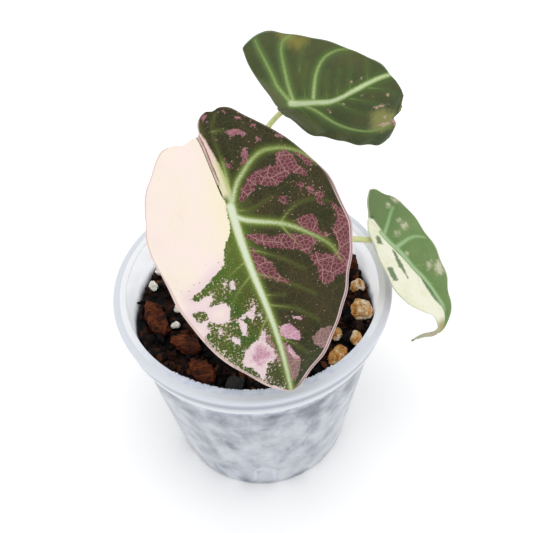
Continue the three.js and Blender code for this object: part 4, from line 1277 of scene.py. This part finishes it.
RIGHT = {
    "stalk": (42.2, -1.8, 95.9),
    "heading": -46, "slope": 32, "bank": -15,
    "bends": [(-30, 0, 0.8), (0, 26, 0.3), (26, 40, 6.8)],
    "middle": [(0, 0), (48, 0)],
    "right": {
        "fold": 9, "curl": 0.7,
        "outer": [(-7.9, 1), (-6.4, 2.6), (-3, 5), (0.2, 6.4), (7.3, 9), (12, 10), (16, 10.1),
                  (20, 9.3), (25, 6.1), (28, 3.9), (32, 3), (38, 2), (44, 0.9), (48, 0)],
        "inner": [(-7.9, 0.5), (-5, 0.3), (0, 0)],
    },
    "left": {
        "fold": -17, "curl": 0.9,
        "outer": [(-14, -8.4), (-13.2, -9.8), (-10.2, -10.9), (-8, -12.8), (-4.9, -14.1),
                  (0, -13.8), (8.6, -13.1), (15.3, -11.6), (21.8, -8.6), (26.5, -5), (30, -3.4),
                  (36, -2.4), (42, -1.3), (48, 0)],
        "inner": [(-14, -7.8), (-12.6, -5.2), (-10, -2), (-7.9, 0.4), (-5, 0.25), (0, 0)],
    },
    "dents": [],
    "tuck": 0, "quilt": 0.45, "wave": 0.3,
}
RIGHT_MIDRIB = [(0.4, -2.1), (0.7, -0.1), (0.4, 2.9), (-0.3, 6.1), (-0.4, 9.3), (-0.5, 12.5),
                (-1, 15.5), (-1.4, 18.7), (-1.3, 22.3), (-1, 25.5), (-1, 27.9), (-0.4, 36), (0, 46)]
RIGHT_LOBE_VEIN = [(0.3, -1.2), (-2.3, -2.4), (-4.2, -3.3), (-7, -4.6), (-9.8, -5.4)]
RIGHT_SIDE_VEIN = [(-0.6, 4.1), (-4.3, 4.5), (-7.5, 5.1), (-9.8, 6.4), (-11.7, 8.2)]
RIGHT_MINOR_VEINS = [
    [(-1, 12), (-4.5, 14), (-8, 18.5)],
    [(-1.2, 18.5), (-3.5, 21), (-6, 25)],
    [(0.8, 8), (4, 10), (7.5, 15)],
    [(0.4, 15), (3, 18), (5.5, 22)],
]
RIGHT_CREAM = [
    [(0.4, -9), (-0.6, -7), (-0.3, -2.5), (1, 0.2), (1, 3.4), (1.1, 5.6), (0.5, 7.8),
     (0.4, 12.3), (-0.1, 15.3), (-0.1, 18.8), (0, 23.1), (-0.3, 26.3), (-0.6, 30.6), (-0.8, 38),
     (-0.5, 44), (20, 44), (20, -12)],
]
RIGHT_STREAKS = [
    [(-1.3, 15.8), (-0.8, 18), (-0.4, 20.8), (-0.1, 23.6), (-0.5, 26.4), (0.1, 26.4), (0.8, 23.8),
     (0.7, 21.3), (0.4, 18), (-0.4, 15.5)],
    [(3, -2.8), (2.3, -2.1), (3.5, 0.7), (4.8, -1.1)],
    [(7.7, 6.6), (6.3, 7), (6.9, 8.6), (7.5, 11.7), (8.8, 10.9), (8.7, 8.6)],
    [(2, 3.6), (1.5, 4.9), (2.2, 7.1), (2.3, 8.8), (3.1, 10.4), (4.4, 13.5), (4.5, 12.5), (4, 9.8),
     (4.5, 8.6), (3.2, 6.3)],
    [(0.4, -7.9), (-1.4, -7.9), (-1, -7)],
]
RIGHT_FLECKS = [
    [(-7.1, -0.3), (-8.9, 0.7), (-8.5, 2), (-6.4, 1.7), (-6.2, 0.4)],
    [(-3.2, 0.4), (-4.7, 1), (-4.1, 1.7), (-2.4, 1.4)],
    [(-7.3, -2), (-8.5, -1.2), (-7.6, -0.4), (-6.6, -1.2)],
    [(-6.2, 17), (-7.9, 16), (-10.9, 15.8), (-10.2, 17.5), (-9.1, 19.4), (-6.7, 20), (-5.8, 18.5)],
    [(-5.3, 13.7), (-7, 14.5), (-6.2, 15.7), (-4, 15.5)],
    [(-11.9, -7.6), (-14.3, -6.3), (-14, -5.1), (-11.8, -6)],
    [(-9, -8), (-10, -7.2), (-9, -6), (-7.5, -6.6)],
    [(-1.8, 6.8), (-2.5, 7.8), (-1.1, 8.5), (-0.4, 7.6)],
]


def right_velvet():
    """Half soft green with pale flecks, half cream with green streaks, and an olive tip."""
    finish = Finish("right_velvet", Specular_IOR_Level=0.18)
    plane, (_, along, _), (main, minor, rim), (cream, streaks, flecks) = leaf_fields(finish)
    ragged, crumbs, cloud = leaf_noises(finish, plane, 1.4, 0.5, 7)
    green = finish.layered(
        finish.mix((cloud + ragged * 0.5).rise(-0.3, 0.3), "#627e48", "#758c59"),
        (crumbs.rise(-0.25, 0.25) * 0.3, "#8a9a6c"),
        (along.rise(4, -9) * 0.6, "#65794f"),
        (main.rise(-3, 0) * 0.3, "#56823f"),
    )
    cream_skin = finish.mix((cloud + ragged * 0.6).rise(-0.1, 0.35), "#ecebd6", "#d9deb8")
    vein_skin = finish.mix((main + crumbs * 0.3).rise(-0.1, 0.5), "#7d9c66", "#a6c095")
    vein = (main + crumbs * 0.2).rise(-0.45, 0.2) * (1 - along.rise(26, 31))
    colour = finish.layered(
        green,
        ((flecks + ragged * 3).rise(-0.7, 0.9) * 0.75, "#cfcbb0"),
        ((cream + ragged * 0.5).rise(-0.35, 0.35), cream_skin),
        ((streaks + ragged * 1.6 + crumbs).rise(-0.35, 0.3) * 0.85, "#47693c"),
        ((along + cream.lower(1) * 2).rise(31, 35) * 0.9, "#9a9455"),
        (minor.rise(0, 0.27) * 0.3, "#b0c492"),
        (vein * 0.9, vein_skin),
        ((1 - (rim + crumbs * 0.2).rise(0.05, 0.35)) * 0.6, "#c9d0b4"),
    )
    grain = finish.meshes(plane, 1).rise(0, 0.3)
    finish.set(Base_Color=colour, Roughness=0.55 + 0.12 * grain)
    finish.relief(grain * 0.5 + finish.noise(plane, 0.35, 2) * 0.4, 0.1, 0.5)
    return finish.material


right = grow_blade(
    "right_blade", RIGHT, 56, 132, 1 / 4,
    [(RIGHT_MIDRIB, 1.2, 0.5), (RIGHT_LOBE_VEIN, 0.8, 0.4), (RIGHT_SIDE_VEIN, 1.0, 0.4)],
    RIGHT_MINOR_VEINS,
    [(RIGHT_CREAM,), (RIGHT_STREAKS,), (RIGHT_FLECKS,)],
)
dress_blade(right, right_velvet(), "blade_right")

# Studio
# A plain pale floor that stays white to the edges, one soft light from nearly straight above, and
# an even white surround. The camera looks down on the plant as the photo does.

FLOOR_SIZE = 6
FLOOR_GLOW = 0.08
SURROUND_STRENGTH = 0.94
WINDOW_PLACE = (0.05, -0.12, 1.1)
WINDOW_SIZE = 0.4
WINDOW_POWER = 1.8
WINDOW_AIM = (0, 0, 0.08)
CAMERA_PLACE = (0, -165.75, 274.24)
CAMERA_YAW = 1.723
CAMERA_PITCH = 48.725
CAMERA_ROLL = -3.568
FOCAL_PIXELS = 795.5
PHOTO_PIXELS = 533
SENSOR = 36

floor = add_primitive("floor", bpy.ops.mesh.primitive_plane_add, size=FLOOR_SIZE)
floor_finish = Finish(
    "floor_white", Base_Color="#ffffff", Roughness=0.9, Specular_IOR_Level=0.1,
    Emission_Color="#ffffff", Emission_Strength=FLOOR_GLOW,
)
floor.data.materials.append(floor_finish.material)

world = bpy.data.worlds.new("surround")
bpy.context.scene.world = world
world.use_nodes = True
surround = world.node_tree.nodes["Background"].inputs
surround["Color"].default_value = (1, 1, 1, 1)
surround["Strength"].default_value = SURROUND_STRENGTH

bpy.ops.object.light_add(type="AREA", location=WINDOW_PLACE)
window = bpy.context.object
window.name = "window"
window.data.size = WINDOW_SIZE
window.data.energy = WINDOW_POWER
aim = np.array(WINDOW_AIM) - np.array(WINDOW_PLACE)
window.rotation_euler = (
    math.atan2(math.hypot(aim[0], aim[1]), -aim[2]), 0, math.atan2(aim[1], aim[0]) - math.pi / 2,
)

bpy.ops.object.camera_add(location=[value * MM for value in CAMERA_PLACE])
camera = bpy.context.object
camera.data.sensor_width = SENSOR
camera.data.lens = FOCAL_PIXELS / PHOTO_PIXELS * SENSOR
turn = (
    Matrix.Rotation(math.radians(-CAMERA_YAW), 4, "Z")
    @ Matrix.Rotation(math.radians(90 - CAMERA_PITCH), 4, "X")
    @ Matrix.Rotation(math.radians(CAMERA_ROLL), 4, "Z")
)
camera.rotation_euler = turn.to_euler()
bpy.context.scene.camera = camera
bpy.context.scene.view_settings.view_transform = "Standard"
